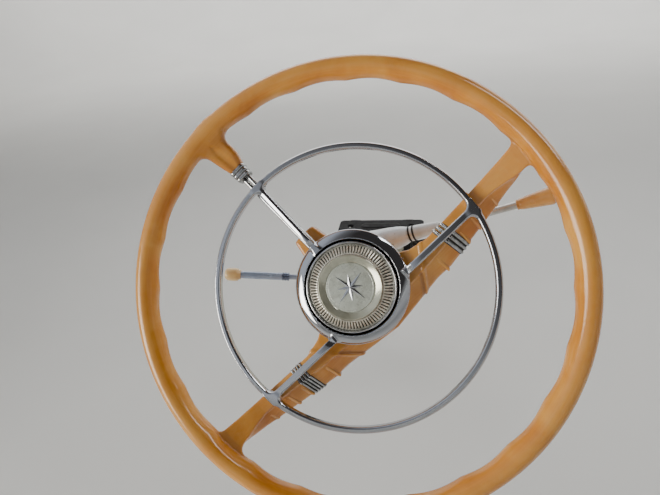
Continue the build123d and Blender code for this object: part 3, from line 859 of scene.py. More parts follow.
# narrow raised ribs across the skirts, in the moulding's own plastic
def rib_at(sgn, x0, tall, half=1.55):
    # steep towards the hub, a longer slope towards the rim
    prof = [(-1.5, -0.5), (-0.95, 0.05), (-0.65, 0.7), (-0.35, 0.95), (0.0, 1.0), (0.45, 0.86), (1.0, 0.5), (1.6, 0.08), (2.3, -0.5)]
    ref = spoke_outline(x0, 0.0)
    lo, cr, tp, zf, zt, zb = [float(v) for v in spoke_at(x0)]
    n = len(ref)
    front = np.clip((ref[:, 0] - cr - 1.0) / 4.0, 0, 1) * np.clip((zb - 3.0 - ref[:, 1]) / 5.0, 0, 1)
    rows = []
    for u, o in prof:
        X = x0 + u * half
        sec0, sec1 = spoke_outline(X, -0.6), spoke_outline(X, max(o, 0.0) * (tall + 0.7) + min(o, 0.0))
        yz = sec0 * (1 - front[:, None]) + sec1 * front[:, None]
        rows.append(np.stack([np.full(n, sgn * X), yz[:, 0], -yz[:, 1]], 1))
    P = np.array(rows)
    m = P.shape[1]
    F = []
    for a in range(len(prof) - 1):
        for b in range(m):
            c = (b + 1) % m
            q = (a * m + b, a * m + c, (a + 1) * m + c, (a + 1) * m + b)
            F.append(q if sgn < 0 else q[::-1])
    ends = [tuple(range(m)), tuple((len(prof) - 1) * m + b for b in range(m))[::-1]]
    F += [e[::-1] if sgn < 0 else e for e in ends]
    # painted highlight along each rib's crest and painted shade at its feet, for the plastic
    edge = np.repeat([0.0, 0.1, 0.5, 0.9, 1.0, 0.9, 0.5, 0.1, 0.0], m)
    cav = np.repeat([0.5, 0.55, 0.9, 1.0, 1.0, 1.0, 0.9, 0.55, 0.5], m)
    return P.reshape(-1, 3), F, edge, cav


for side, sgn in (("left", -1), ("right", 1)):
    got = [rib_at(sgn, x0, t) for x0, t in RIBS]
    P, F = None, []
    n = 0
    for p, f, e, c in got:
        F += [tuple(int(v) + n for v in q) for q in f]
        n += len(p)
    P = np.concatenate([g[0] for g in got])
    build(side + "_skirt_ribs", P, F, MLD, "wheel", AMBER, sharp=70,
          attrs={"edge": np.concatenate([g[2] for g in got]), "cav": np.concatenate([g[3] for g in got]), "flow": flow_coords(P)})


def tube_along(p, q, radii, seg=28, caps=True):
    """turned piece between two places; radii rows are (share of the way, radius)"""
    p, q = np.array(p, float), np.array(q, float)
    d = unit(q - p)
    u = unit(np.cross(d, [0.3, 0.9, 0.2]))
    v = np.cross(d, u)
    L = np.linalg.norm(q - p)
    rows, P, F = len(radii), [], []
    for t, r in radii:
        for k in range(seg):
            a = 2 * math.pi * k / seg
            P.append(p + d * L * t + (u * math.cos(a) + v * math.sin(a)) * r)
    for i in range(rows - 1):
        for k in range(seg):
            l = (k + 1) % seg
            F.append((i * seg + k, i * seg + l, (i + 1) * seg + l, (i + 1) * seg + k))
    if caps:
        F.append(tuple(range(seg))[::-1])
        F.append(tuple((rows - 1) * seg + k for k in range(seg)))
    return np.array(P), F


def join(parts):
    P, F, n = [], [], 0
    for p, f in parts:
        P.append(np.asarray(p, float))
        F += [tuple(int(v) + n for v in g) for g in f]
        n += len(p)
    return np.concatenate(P), F


rods = [tube_along((x, -50.0, -22.4), (x, -158.0, -21.2), [(0.0, 2.4), (1.0, 2.4)], 32) for x in (-2.55, 2.55)]
P, F = join(rods)
build("spoke_rods", P, F, MLD, "wheel", BAND, ("lower_spoke_rods",), sharp=40, attrs={"g": np.ones(len(P))})


def f_collar(x, y, h):
    z = -h
    t = np.clip((-y - 150.5) / 13.0, 0, 1)
    # three rounded ribs, the one by the foot the widest
    rib = np.sqrt(np.abs(np.sin(t * math.pi * 3)) + 0.01)
    hw = 6.6 + 1.0 * t + 1.25 * rib
    hd = 5.6 + 0.6 * t + 1.25 * rib
    s = smax(np.abs(x) - hw, np.abs(z - (20.6 - 0.6 * t)) - hd, 4.6)
    return smax(s, np.abs(y + 157.0) - 6.4, 0.5)


P, Q, NN = net(f_collar, (-12, -166, -32), (12, -148, -9), 0.42 if FULL else 0.8)
# cav as g: painted shade with grime in the collar's creases
build("spoke_collar", P, Q, MLD, "wheel", BAND, ("lower_spoke_collar",), normals=NN, attrs={"g": worn(f_collar, P, NN, 1.6, 1.0)["cav"]})

# ---------------------------------------------------------------- the horn push in the hub
def metal(name, base, dirt_and_groove_shade, metallic=0.85, rough=(0.18, 0.34), k=1.0, attr="wp", coat=0.0, groove=None, brush=None, bumps=0.12):
    """worn metal or metallic paint: tone clouds, spots of grime, painted shade with grime in the grooves, fine
    scratches; groove names a 0 to 1 attribute
    """
    m, nt, b = material(name, metallic=metallic)
    if coat:
        b.inputs["Coat Weight"].default_value = coat
        b.inputs["Coat Roughness"].default_value = 0.05
    N = Nodes(nt)
    cloud = N.noise(N.coords(attr, (0.10 * k,) * 3), 1.0, 5.0, 0.62, 0.3)
    dark = (base[0] * 0.80, base[1] * 0.79, base[2] * 0.76, 1)
    light = tuple(min(1, c * 1.12) for c in base[:3]) + (1,)
    col = N.ramp(cloud, [(0.32, dark), (0.52, base), (0.72, light)])
    spots = N.ramp(N.voronoi(N.coords(attr, (0.5 * k,) * 3, (2, 5, 1)), 1.0), [(0.06, 1.0), (0.13, 0.0)])
    where = N.ramp(N.noise(N.coords(attr, (0.07 * k,) * 3, (7, 3, 1)), 1.0, 2.0), [(0.5, 0.0), (0.62, 1.0)])
    sm = N.math("MULTIPLY", spots, where)
    col = N.mix(N.math("MULTIPLY", sm, 0.7), col, dirt_and_groove_shade)
    rg = N.ramp(N.noise(N.coords(attr, (0.2 * k,) * 3, (1, 8, 4)), 1.0, 5.0, 0.65), [(0.3, rough[0]), (0.7, rough[1])])
    if groove:
        g = N.add("ShaderNodeAttribute", attribute_name=groove).outputs["Fac"]
        # darker in the grooves: painted shade, with grime that also roughens them
        gg = N.math("ADD", g, N.math("MULTIPLY", N.math("SUBTRACT", cloud, 0.5), 0.5), clamp=True)
        col = N.mix(N.ramp(gg, [(0.15, 1.0), (0.6, 0.0)]), col, dirt_and_groove_shade)
        rg = N.math("ADD", rg, N.ramp(gg, [(0.1, 0.35), (0.6, 0.0)]))
    N.link(col, b.inputs["Base Color"])
    N.link(rg, b.inputs["Roughness"])
    sc = brush or (0.5 * k, 5.0 * k, 0.5 * k)
    fine = N.noise(N.coords(attr, sc, (0, 0, 0), (0.0, 0.0, 0.0) if brush else (0.3, 0.9, 0.5)), 1.0, 3.0, 0.6)
    n1 = N.bump(fine, bumps, 0.0002)
    N.link(N.bump(N.noise(N.coords(attr, (0.9 * k,) * 3), 1.0, 3.0, 0.6), bumps * 0.8, 0.0004, n1), b.inputs["Normal"])
    return m


def netted(name, f, lo, hi, g, fr, body, mat, nodes, d=3.0, e=1.4):
    P, Q, NN = net(f, lo, hi, g)
    return build(name, P, Q, fr, body, mat, nodes, normals=NN, attrs=worn(f, P, NN, d, e))


FLUTED = metal("fluted_silver", srgb(226, 223, 210), srgb(50, 48, 41), 0.72, (0.22, 0.36), 1.0, groove="g")
CAPRING = metal("cap_ring_chrome", (0.72, 0.73, 0.75, 1), (0.05, 0.05, 0.05, 1), 1.0, (0.06, 0.14), 1.0, groove="g", bumps=0.03)
BEVEL = metal("champagne_bevel", srgb(196, 196, 176), srgb(112, 108, 90), 0.55, (0.12, 0.22), 1.0, coat=1.0, bumps=0.04)
DISC = metal("pale_disc_enamel", srgb(198, 202, 190), srgb(86, 84, 74), 0.25, (0.22, 0.36), 1.0, coat=0.5, bumps=0.05)


def ring_piece(name, profile, seg, mat, replaces, mod=None, sharp=30, attrs=None):
    P, F = lathe(profile, seg, mod=mod)
    return build(name, P, F, WHL, "wheel", mat, replaces, sharp=sharp, attrs=attrs(P) if attrs else None)


FLUTES, KNURLS = 81, 216


def make_flutes():
    seg = FLUTES * (10 if FULL else 6)
    a = np.arange(seg) * 2 * math.pi / seg
    wave = np.cos(a * FLUTES)
    bar = np.clip(wave * 1.6 + 0.35, -1, 1)
    bar = 0.5 + 0.5 * np.sin(bar * math.pi / 2)
    rows = []
    # (radius, height, how much the bars stand proud here)
    plan = [(41.2, -24.0, 0), (41.2, -14.9, 0), (40.9, -14.4, 0), (40.0, -14.1, 0), (39.8, -14.0, 0.0), (39.5, -13.8, 0.55), (39.0, -13.3, 1.0),
            (37.2, -12.0, 1.0), (35.0, -10.3, 1.0), (33.2, -8.9, 1.0), (32.3, -8.25, 0.9), (31.6, -7.8, 0.35), (31.2, -7.5, 0.0), (30.8, -7.2, 0), (30.5, -8.2, 0), (30.5, -24.0, 0)]
    pts = np.zeros((len(plan), seg, 3))
    g = np.zeros((len(plan), seg))
    for i, (r, h, w) in enumerate(plan):
        pts[i, :, 0] = r * np.cos(a)
        pts[i, :, 1] = r * np.sin(a)
        pts[i, :, 2] = h + w * (bar - 0.5) * 0.9
        # low between the bars and off them: painted shade in the fluted ring's gaps
        g[i] = 1 - w * (1 - bar) if w > 0 else (0.75 if 31.5 < r < 40.5 else 0.4)
    F = []
    for i in range(len(plan) - 1):
        for k in range(seg):
            l = (k + 1) % seg
            F.append((i * seg + k, (i + 1) * seg + k, (i + 1) * seg + l, i * seg + l))
    build("fluted_ring_bars", pts.reshape(-1, 3), [f[::-1] for f in F], WHL, "wheel", FLUTED, ("fluted_ring",),
          attrs={"g": g.ravel()}, sharp=55)


def make_cap_ring():
    seg = KNURLS * (5 if FULL else 4)
    a = np.arange(seg) * 2 * math.pi / seg
    plan = [(41.1, -24.0, 0), (41.1, -14.6, 0), (41.2, -13.3, 0), (41.5, -12.5, 0), (41.9, -12.2, 0), (42.5, -12.2, 0), (42.9, -12.5, 0), (43.1, -13.0, 0),
            (43.15, -13.4, 0), (43.4, -13.7, 1), (43.8, -14.9, 1), (44.3, -16.3, 1), (44.8, -17.9, 1), (44.9, -18.4, 0), (44.9, -24.0, 0)]
    pts = np.zeros((len(plan), seg, 3))
    g = np.ones((len(plan), seg))
    for i, (r, h, w) in enumerate(plan):
        ph = a * KNURLS + h * 1.5
        tri = np.abs(((ph / math.pi) % 2) - 1)
        rr = r - w * 0.42 * (1 - tri)
        pts[i, :, 0] = rr * np.cos(a)
        pts[i, :, 1] = rr * np.sin(a)
        pts[i, :, 2] = h
        # lower in the knurls' valleys, lowest down the inner wall: painted shade
        if w:
            g[i] = 0.45 + 0.55 * tri
        if r < 41.4:
            g[i] = 0.35
    F = []
    for i in range(len(plan) - 1):
        for k in range(seg):
            l = (k + 1) % seg
            F.append((i * seg + k, i * seg + l, (i + 1) * seg + l, (i + 1) * seg + k))
    build("cap_ring", pts.reshape(-1, 3), [f[::-1] for f in F], WHL, "wheel", CAPRING, ("fluted_ring",), attrs={"g": g.ravel()}, sharp=50)


make_flutes()
make_cap_ring()

prof = rounded([(30.45, -22), (30.45, -6.8), (29.7, -6.1), (24.0, -8.5), (23.4, -9.0), (23.3, -22)], [0, 0.5, 0.5, 0.6, 0.3, 0], 20)
ring_piece("bevel_ring_dish", prof[::-1], 160, BEVEL, ("bevel_ring",))

prof = rounded([(0.0, -8.8), (20.9, -8.8), (21.2, -8.95), (21.5, -8.8), (22.9, -8.9), (23.35, -9.4), (23.35, -22), (0, -22)], [0, 0.05, 0.05, 0.05, 0.3, 0.2, 0.2, 0], 30)
ring_piece("horn_disc_face", prof, 128, DISC, ("horn_disc",))


def make_motif():
    """plain star of eight facetted rays"""
    P, F = [(0.0, 0.0, -7.1)], []
    n = 16
    for k in range(n):
        a = k * 2 * math.pi / n + 0.2
        r = (17.0 if k % 4 == 0 else 12.4) if k % 2 == 0 else 4.0
        P.append((r * math.cos(a), r * math.sin(a), -8.45 if k % 2 == 0 else -8.3))
    for k in range(n):
        a = k * 2 * math.pi / n + 0.2
        r = (17.0 if k % 4 == 0 else 12.4) if k % 2 == 0 else 4.0
        P.append((r * math.cos(a) * 1.01, r * math.sin(a) * 1.01, -9.0))
    for k in range(n):
        l = (k + 1) % n
        F.append((0, 1 + k, 1 + l))
        F.append((1 + k, 1 + n + k, 1 + n + l, 1 + l))
    F.append(tuple(range(2 * n, n, -1)))
    build("hub_star", P, F, WHL, "wheel", CHROME, ("hub_motif",), sharp=10)


make_motif()

# ---------------------------------------------------------------- carried-over nodes
def dress(node, mat):
    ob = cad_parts[node]
    if not ob.material_slots:
        ob.data.materials.append(mat)
    for s in ob.material_slots:
        s.material = mat


def paint(name, base, under, attr="obj", rough=(0.22, 0.40), chips=0.5, coat=0.35, metallic=0.0, dust=None, k=1.0, peel=0.10, net=False):
    """old enamel: uneven tone, small chips down to the metal, dust and orange peel; net pieces chip on their edges and
    take painted shade in their hollows
    """
    m, nt, b = material(name, metallic=metallic)
    b.inputs["Coat Weight"].default_value = coat
    b.inputs["Coat Roughness"].default_value = 0.10
    N = Nodes(nt)
    tone = N.noise(N.coords(attr, (0.03 * k,) * 3), 1.0, 5.0, 0.6, 0.3)
    a = tuple(c * 0.82 for c in base[:3]) + (1,)
    c2 = tuple(min(1.0, c * 1.10) for c in base[:3]) + (1,)
    col = N.ramp(tone, [(0.3, a), (0.5, base), (0.7, c2)])
    if dust:
        dn = N.noise(N.coords(attr, (0.05 * k,) * 3, (4, 4, 9)), 1.0, 6.0, 0.7)
        up = N.add("ShaderNodeSeparateXYZ")
        N.link(N.add("ShaderNodeNewGeometry").outputs["Normal"], up.inputs[0])
        lay = N.math("MULTIPLY", N.ramp(dn, [(0.38, 0.0), (0.66, 1.0)]), N.ramp(up.outputs["Z"], [(0.1, 0.05), (0.9, 0.22)]))
        col = N.mix(lay, col, dust)
    v = N.voronoi(N.coords(attr, (0.22 * k,) * 3, (1, 9, 2)), 1.0)
    rag = N.noise(N.coords(attr, (0.8 * k,) * 3), 1.0, 3.0, 0.6)
    vv = N.math("ADD", v, N.math("MULTIPLY", rag, 0.18))
    chip = N.math("MULTIPLY", N.ramp(vv, [(0.155, 1.0), (0.175, 0.0)]),
                  N.ramp(N.noise(N.coords(attr, (0.02 * k,) * 3, (8, 2, 6)), 1.0, 3.0, 0.6), [(0.62 - 0.14 * chips, 0.0), (0.66 - 0.12 * chips, 1.0)]))
    if net:
        edge = N.add("ShaderNodeAttribute", attribute_name="edge").outputs["Fac"]
        cav = N.add("ShaderNodeAttribute", attribute_name="cav").outputs["Fac"]
        brk = N.noise(N.coords(attr, (0.35 * k,) * 3, (6, 2, 8)), 1.0, 5.0, 0.7)
        chip = N.math("MAXIMUM", chip, N.ramp(N.math("ADD", edge, N.math("MULTIPLY", N.math("SUBTRACT", brk, 0.5), 2.2)), [(0.86, 0.0), (0.92, 1.0)]))
        # darker in the hollows: painted shade
        low = N.ramp(N.math("ADD", cav, N.math("MULTIPLY", N.math("SUBTRACT", brk, 0.5), 0.5)), [(0.45, 0.75), (0.92, 0.0)])
        col = N.mix(low, col, (base[0] * 0.25 + 0.01, base[1] * 0.22 + 0.008, base[2] * 0.18 + 0.006, 1))
    N.link(N.mix(chip, col, under), b.inputs["Base Color"])
    rg = N.ramp(N.noise(N.coords(attr, (0.12 * k,) * 3, (3, 3, 3)), 1.0, 5.0, 0.65), [(0.3, rough[0]), (0.7, rough[1])])
    N.link(N.math("ADD", rg, N.math("MULTIPLY", chip, 0.3)), b.inputs["Roughness"])
    n1 = N.bump(N.noise(N.coords(attr, (0.7 * k,) * 3), 1.0, 2.0, 0.5), peel, 0.0005)
    N.link(N.bump(N.math("SUBTRACT", 1.0, chip), 0.35, 0.0003, n1), b.inputs["Normal"])
    return m


def rubber(name, base, attr="obj"):
    m, nt, b = material(name)
    N = Nodes(nt)
    n = N.noise(N.coords(attr, (0.10,) * 3), 1.0, 6.0, 0.7)
    N.link(N.ramp(n, [(0.35, base), (0.62, tuple(min(1, c * 2.2 + 0.01) for c in base[:3]) + (1,))]), b.inputs["Base Color"])
    N.link(N.ramp(n, [(0.3, 0.50), (0.7, 0.78)]), b.inputs["Roughness"])
    N.link(N.bump(N.noise(N.coords(attr, (1.4,) * 3), 1.0, 4.0, 0.6), 0.25, 0.0003), b.inputs["Normal"])
    return m


def casting(name, base, attr="obj", net=False):
    """sand-cast iron with old paint, grease and dust, and painted shade in the hollows"""
    m, nt, b = material(name, metallic=0.25)
    N = Nodes(nt)
    t = N.noise(N.coords(attr, (0.035,) * 3), 1.0, 6.0, 0.65, 0.4)
    col = N.ramp(t, [(0.32, tuple(c * 0.45 for c in base[:3]) + (1,)), (0.5, base), (0.68, (base[0] * 1.45, base[1] * 1.35, base[2] * 1.2, 1))])
    rust = N.ramp(N.noise(N.coords(attr, (0.06,) * 3, (2, 7, 5)), 1.0, 6.0, 0.75), [(0.58, 0.0), (0.70, 0.75)])
    col = N.mix(rust, col, srgb(96, 62, 38))
    if net:
        edge = N.add("ShaderNodeAttribute", attribute_name="edge").outputs["Fac"]
        cav = N.add("ShaderNodeAttribute", attribute_name="cav").outputs["Fac"]
        brk = N.noise(N.coords(attr, (0.25,) * 3, (6, 2, 8)), 1.0, 5.0, 0.7)
        col = N.mix(N.ramp(N.math("ADD", edge, N.math("MULTIPLY", N.math("SUBTRACT", brk, 0.5), 1.6)), [(0.62, 0.0), (0.86, 0.8)]), col, (base[0] * 2.6, base[1] * 2.5, base[2] * 2.3, 1))
        # near black in the hollows: painted shade, with grease
        col = N.mix(N.ramp(N.math("ADD", cav, N.math("MULTIPLY", N.math("SUBTRACT", brk, 0.5), 0.5)), [(0.40, 0.9), (0.90, 0.0)]), col, (0.012, 0.009, 0.006, 1))
    N.link(col, b.inputs["Base Color"])
    N.link(N.ramp(N.noise(N.coords(attr, (0.05,) * 3, (6, 1, 2)), 1.0, 5.0, 0.7), [(0.36, 0.28), (0.66, 0.72)]), b.inputs["Roughness"])
    n1 = N.bump(N.noise(N.coords(attr, (0.9,) * 3), 1.0, 4.0, 0.6), 0.35, 0.0007)
    N.link(N.bump(N.noise(N.coords(attr, (0.12,) * 3), 1.0, 3.0, 0.5), 0.15, 0.0015, n1), b.inputs["Normal"])
    return m


DUST = srgb(168, 156, 136)
CREAM = paint("cream_enamel", srgb(226, 221, 200), srgb(84, 70, 56), chips=0.75)
# a whiter, bluer copy of the cream enamel: painted sky light on the castings
CREAM_N = paint("cream_enamel_castings", srgb(233, 241, 245), srgb(70, 62, 52), attr="wp", chips=1.3, net=True, peel=0.22)
BLACK = paint("black_enamel", srgb(30, 30, 32), srgb(100, 94, 88), chips=0.35, coat=0.0, dust=DUST, rough=(0.38, 0.6))
BLACK.node_tree.nodes["Principled BSDF"].inputs["Specular IOR Level"].default_value = 0.3
MATT_N = paint("matt_black_bracket", srgb(24, 24, 26), srgb(96, 90, 82), attr="wp", chips=0.4, coat=0.0, rough=(0.55, 0.75), net=True)
for _n in MATT_N.node_tree.nodes:
    if _n.type == "BSDF_PRINCIPLED":
        _n.inputs["Specular IOR Level"].default_value = 0.2
BLACK_N = paint("black_enamel_forgings", srgb(32, 32, 34), srgb(108, 100, 92), attr="wp", chips=0.5, coat=0.1, dust=DUST, rough=(0.32, 0.55), net=True)
RUBBER = rubber("black_rubber", srgb(26, 26, 27))
RUBBER_W = rubber("black_rubber_mouldings", srgb(26, 26, 27), attr="wp")
CAST = casting("cast_housing", srgb(78, 78, 76))
CAST_N = casting("cast_iron_housing", srgb(80, 80, 77), attr="wp", net=True)
STEEL = metal("bare_steel", srgb(158, 155, 148), srgb(92, 66, 44), 1.0, (0.25, 0.45), 1.0, attr="obj")
STEEL_W = metal("dull_steel", srgb(150, 146, 138), srgb(84, 58, 38), 1.0, (0.28, 0.5), 1.4)
SATIN = metal("satin_rod", srgb(206, 204, 198), srgb(110, 96, 80), 0.85, (0.26, 0.40), 1.0)


# ---------------------------------------------------------------- turned pieces and fasteners
def turned(c, axis, rows, seg=32, hexagon=None, phase=0.0, caps=True):
    """rows are (distance along the axis, radius[, 1 for six flats]) from place c; mm in the row's or column's frame"""
    c, d = np.array(c, float), unit(axis)
    u = unit(np.cross(d, [0.21, 0.93, 0.31]))
    v = np.cross(d, u)
    a = 2 * math.pi * np.arange(seg) / seg
    P, F = [], []
    for row in rows:
        t, r = row[0], row[1]
        rr = np.full(seg, float(r))
        if len(row) > 2 and row[2]:
            q = (a + phase) % (math.pi / 3) - math.pi / 6
            rr = np.minimum(rr, row[2] / np.cos(q))
        P.append(c + d * t + np.outer(rr * np.cos(a), u) + np.outer(rr * np.sin(a), v))
    n = len(rows)
    for i in range(n - 1):
        for k in range(seg):
            l = (k + 1) % seg
            F.append((i * seg + k, i * seg + l, (i + 1) * seg + l, (i + 1) * seg + k))
    if caps:
        F.append(tuple(range(seg))[::-1])
        F.append(tuple((n - 1) * seg + k for k in range(seg)))
    return np.concatenate(P), F


def hex_bolt(c, axis, flat=5.0, head=4.2, washer=7.4, phase=0.0):
    """head on a washer; flat is half the width across flats"""
    w = 1.3
    return turned(c, axis, [(-2.0, washer - 1.5), (-0.2, washer - 0.3), (0.1, washer), (w - 0.2, washer), (w, washer - 0.3), (w + 0.02, flat * 1.16, flat),
                            (w + head * 0.72, flat * 1.16, flat), (w + head * 0.86, flat * 1.08, flat), (w + head, flat * 0.94, flat), (w + head + 0.02, flat * 0.86)], 36, phase=phase)


def stud_nut(c, axis, flat=5.0, head=4.6, washer=7.6, stud=3.0, out=3.5, phase=0.0):
    P, F = hex_bolt(c, axis, flat, head, washer, phase)
    Q, G = turned(np.array(c, float) + unit(axis) * (head + 1.0), axis, [(0, stud)] + [(0.5 + 0.5 * i, stud - (0.28 if i % 2 else 0.0)) for i in range(int(out * 2))] + [(out + 0.2, stud - 0.7)], 20)
    return join([(P, F), (Q, G)])


def round_screw(c, axis, r=4.4, tall=2.4, turn_=0.4):
    """domed head with a slot cut as a sunk bar"""
    P, F = turned(c, axis, [(-1.0, r * 0.6), (0.0, r), (0.35, r), (tall * 0.6, r * 0.84), (tall * 0.85, r * 0.58), (tall, r * 0.25)], 28)
    d = unit(axis)
    u = unit(np.cross(d, [0.21, 0.93, 0.31]))
    v = np.cross(d, u)
    s = u * math.cos(turn_) + v * math.sin(turn_)
    # press the slot into the head
    Pn = P - np.array(c, float)
    off = Pn @ np.cross(d, s)
    h = Pn @ d
    P = P - np.outer(np.where((np.abs(off) < r * 0.16) & (h > 0.5), h * 0.45, 0), d)
    return P, F


def at_col(x, y, depth):
    """place in the column's frame"""
    return np.array([x, y, -depth], float)


# ---------------------------------------------------------------- signal lever
S0, S1, S2, S3 = at_col(-34, 3, 99.2), at_col(-85.5, 5.4, 86.4), at_col(-134, 7.6, 74.2), at_col(-151, 8.4, 70.0)
d1, d2 = unit(S1 - S0), unit(S3 - S1)
L01, L12 = np.linalg.norm(S1 - S0), np.linalg.norm(S2 - S1)
thin = turned(S0, d1, [(-3.0, 2.9), (L01 - 3, 2.95)], 28)
thick = turned(S1, d2, [(0.0, 3.6), (3.5, 3.7), (4.4, 4.05), (5.2, 4.15), (L12 - 4.0, 4.15), (L12 - 3.0, 3.9), (L12 + 4.0, 3.9)], 32)
P, F = join([thin, thick])
SIGNAL = paint("blue_grey_lever", srgb(158, 174, 198), srgb(44, 44, 48), attr="wp", chips=0.95, coat=0.5, metallic=0.25, rough=(0.18, 0.3), k=1.7, peel=0.05)
build("signal_lever_rod", P, F, COL, "column", SIGNAL, ("signal_lever",), sharp=35)
P, F = turned(S1 - d2 * 4.2, d2, [(0.0, 3.2), (0.2, 4.1), (0.6, 4.5), (2.0, 4.5), (2.3, 3.9), (3.0, 3.9), (3.3, 4.5), (5.2, 4.5), (5.5, 3.9), (6.1, 3.9), (6.4, 4.5), (7.6, 4.5), (8.0, 4.1), (8.2, 3.4)], 40)
build("signal_lever_collar", P, F, COL, "column", metal("dark_collar", srgb(118, 128, 150), srgb(30, 30, 32), 0.8, (0.2, 0.34), 1.0, bumps=0.03), ("signal_collar",), sharp=32)
d3 = unit(S3 - S2)
P, F = turned(S2, d3, [(-0.4, 3.6), (-0.4, 4.9), (0.0, 5.3), (1.6, 5.6), (2.0, 6.2), (2.6, 6.8), (5.0, 7.2), (8.0, 7.3), (11.0, 7.25), (13.6, 6.9), (15.4, 6.0), (16.6, 4.6), (17.3, 2.8), (17.5, 0.6)], 44)
SKNOB = plastic("pale_amber_knob", srgb(230, 184, 116), srgb(242, 204, 140), srgb(248, 218, 166), net_attrs=False)
build("signal_lever_knob", P, F, COL, "column", SKNOB, ("signal_knob",), sharp=50)

# ---------------------------------------------------------------- gear lever
def lever(x):
    return at_col(x, 46.7 + 0.258 * (x - 28), 105 - 0.2477 * (x - 28))


LD = unit(lever(100) - lever(0))
LA, LB = lever(8), lever(51)
L_CONE = np.linalg.norm(LB - LA)


def f_lever_boss(x, y, h):
    p = np.stack([x - LA[0], y - LA[1], h - LA[2]], -1)
    t = p @ LD
    q = p - t[..., None] * LD
    r = np.sqrt((q * q).sum(-1))
    # cone with a slight waist, and a rolled lip at its outer end
    R = np.interp(t, [-4, 0, 22, 34, 40, L_CONE - 2.0, L_CONE], [15.0, 15.0, 13.4, 11.6, 10.2, 8.7, 8.7])
    cone = smax(r - R, smax(-t - 3.0, t - L_CONE, 1.2), 1.6)
    hx = np.hypot(x - 8.0, y - 41.5)
    drum = smax(hx - 13.0, smax(h + 94.0, -h - 128.0, 2.0), 2.2)
    lug = smax(smax(np.hypot(x - 8.0, y - 34.0) - 9.0, h + 97.0, 1.5), -h - 124.0, 1.5)
    f = smin(smin(cone, drum, 5.0), lug, 3.0)
    # it bears on the column's head
    return smax(f, 36.9 - np.hypot(x, y), 0.8)


netted("gear_lever_casting", f_lever_boss, (-12, 22, -134), (58, 74, -78), 0.75 if FULL else 1.3, COL, "column", CREAM_N, ("gear_lever_boss",), 2.5, 1.2)
# pivot pin with its clip across the casting
parts = [turned(at_col(8, 41.5, 93.6), (0, 0, 1), [(-0.5, 5.4), (0.5, 5.4), (0.9, 5.0), (1.4, 4.2), (1.5, 0.6)], 32),
         round_screw(at_col(17, 50, 108.5) + np.array([2.9, 3.1, 0]), (0.67, 0.74, 0.0), 2.6, 1.6)]
P, F = join(parts)
build("gear_lever_pin", P, F, COL, "column", STEEL_W, sharp=35)

GA, GB = lever(51), lever(58.5)
LG = np.linalg.norm(GB - GA)
P, F = join([turned(GA, LD, [(-0.3, 7.0), (-0.3, 8.6), (0.1, 8.95), (1.2, 8.95), (1.6, 8.6), (1.6, 6.5)], 44),
             turned(GA, LD, [(4.2, 6.5), (4.2, 8.4), (4.6, 8.8), (5.8, 8.8), (6.2, 8.4), (6.2, 6.3)], 44)])
build("gear_lever_rings", P, F, COL, "column", RUBBER_W, ("gear_lever_grommet",), sharp=40)
TB = lever(82)
LT = np.linalg.norm(TB - GA)
rows = [(1.4, 5.0), (1.5, 8.3), (4.3, 8.35), (4.4, 8.1), (LG - 0.5, 8.05), (LG + 1.0, 7.9)]
for k in range(1, 9):
    t = LG + 1.0 + (LT - LG - 3.0) * k / 8
    rows.append((t, 7.9 - 2.3 * (k / 8) ** 0.95))
rows += [(LT - 0.6, 5.4), (LT, 4.9), (LT + 0.05, 3.9)]
P, F = turned(GA, LD, rows, 48)
# a whiter, bluer copy of the cream enamel: painted sky light on the lever's sleeve
CREAM_W = paint("cream_enamel_lever", srgb(236, 242, 243), srgb(96, 86, 72), attr="wp", chips=0.8)
build("gear_lever_sleeve", P, F, COL, "column", CREAM_W, ("gear_lever_tube",), sharp=30)
RB = lever(157)
LR = np.linalg.norm(RB - TB)
P, F = turned(TB, LD, [(-3.0, 3.85), (0.4, 3.85), (LR - 3.0, 3.8), (LR + 2.0, 3.8)], 40)
build("gear_lever_shank", P, F, COL, "column", SATIN, ("gear_lever_rod",), sharp=30)
KB = lever(190.5)
LK = np.linalg.norm(KB - RB)
rows = [(0.0, 3.9), (0.0, 4.7), (0.3, 5.1), (1.6, 5.2), (1.9, 4.9), (2.3, 4.9), (2.7, 5.35)]
for k in range(1, 11):
    t = k / 11
    rows.append((2.7 + (LK - 7.5) * t, 5.35 + 3.5 * t ** 0.82))
rows += [(LK - 3.6, 8.9), (LK - 2.2, 8.75), (LK - 1.1, 8.2), (LK - 0.4, 7.2), (LK - 0.1, 5.6), (LK, 3.0), (LK + 0.02, 0.6)]
P, F = turned(RB, LD, rows, 56)
GKNOB = plastic("amber_gear_knob", srgb(206, 140, 66), srgb(226, 166, 92), srgb(238, 190, 120), net_attrs=False)
build("gear_lever_knob", P, F, COL, "column", GKNOB, ("gear_knob",), sharp=50)


# ---------------------------------------------------------------- column head
def f_head(x, y, h):
    r = np.hypot(x, y)
    z = -h
    R = np.interp(z, [84, 87, 120, 126, 136, 140], [34.0, 37.0, 37.0, 34.6, 28.6, 27.4])
    f = smax(r - R, smax(84.0 - z, z - 140.0, 1.2), 1.2)
    # bead round the upper edge and a groove under it
    f = smin(f, np.hypot(r - 36.2, z - 91.5) - 1.5, 0.8)
    f = smax(f, -(np.hypot(r - 37.6, z - 94.2) - 1.3), 0.6)
    # slot for the signal lever
    slot = smax(np.abs(z - 98.8) - 5.0, smax(np.abs(y - 2.6) - 8.5, x + 30.0, 1.0), 2.0)
    f = smax(f, -slot, 0.8)
    f = smax(f, 14.6 - r, 0.5)
    return smax(f, -smax(r - 24.1, 118.0 - z, 0.3), 0.3)


netted("column_head_casting", f_head, (-42, -42, -142), (42, 42, -82), 1.25 if FULL else 1.9, COL, "column", CREAM_N, ("column_head",), 3.0, 1.4)
parts = []
for a in (200, 250, 310, 20):
    c, s = math.cos(math.radians(a)), math.sin(math.radians(a))
    parts.append(round_screw(at_col(37.0 * c, 37.0 * s, 106), (c, s, 0), 3.4, 1.9, 0.3 + a))
P, F = join(parts)
build("column_head_screws", P, F, COL, "column", STEEL_W, sharp=35)

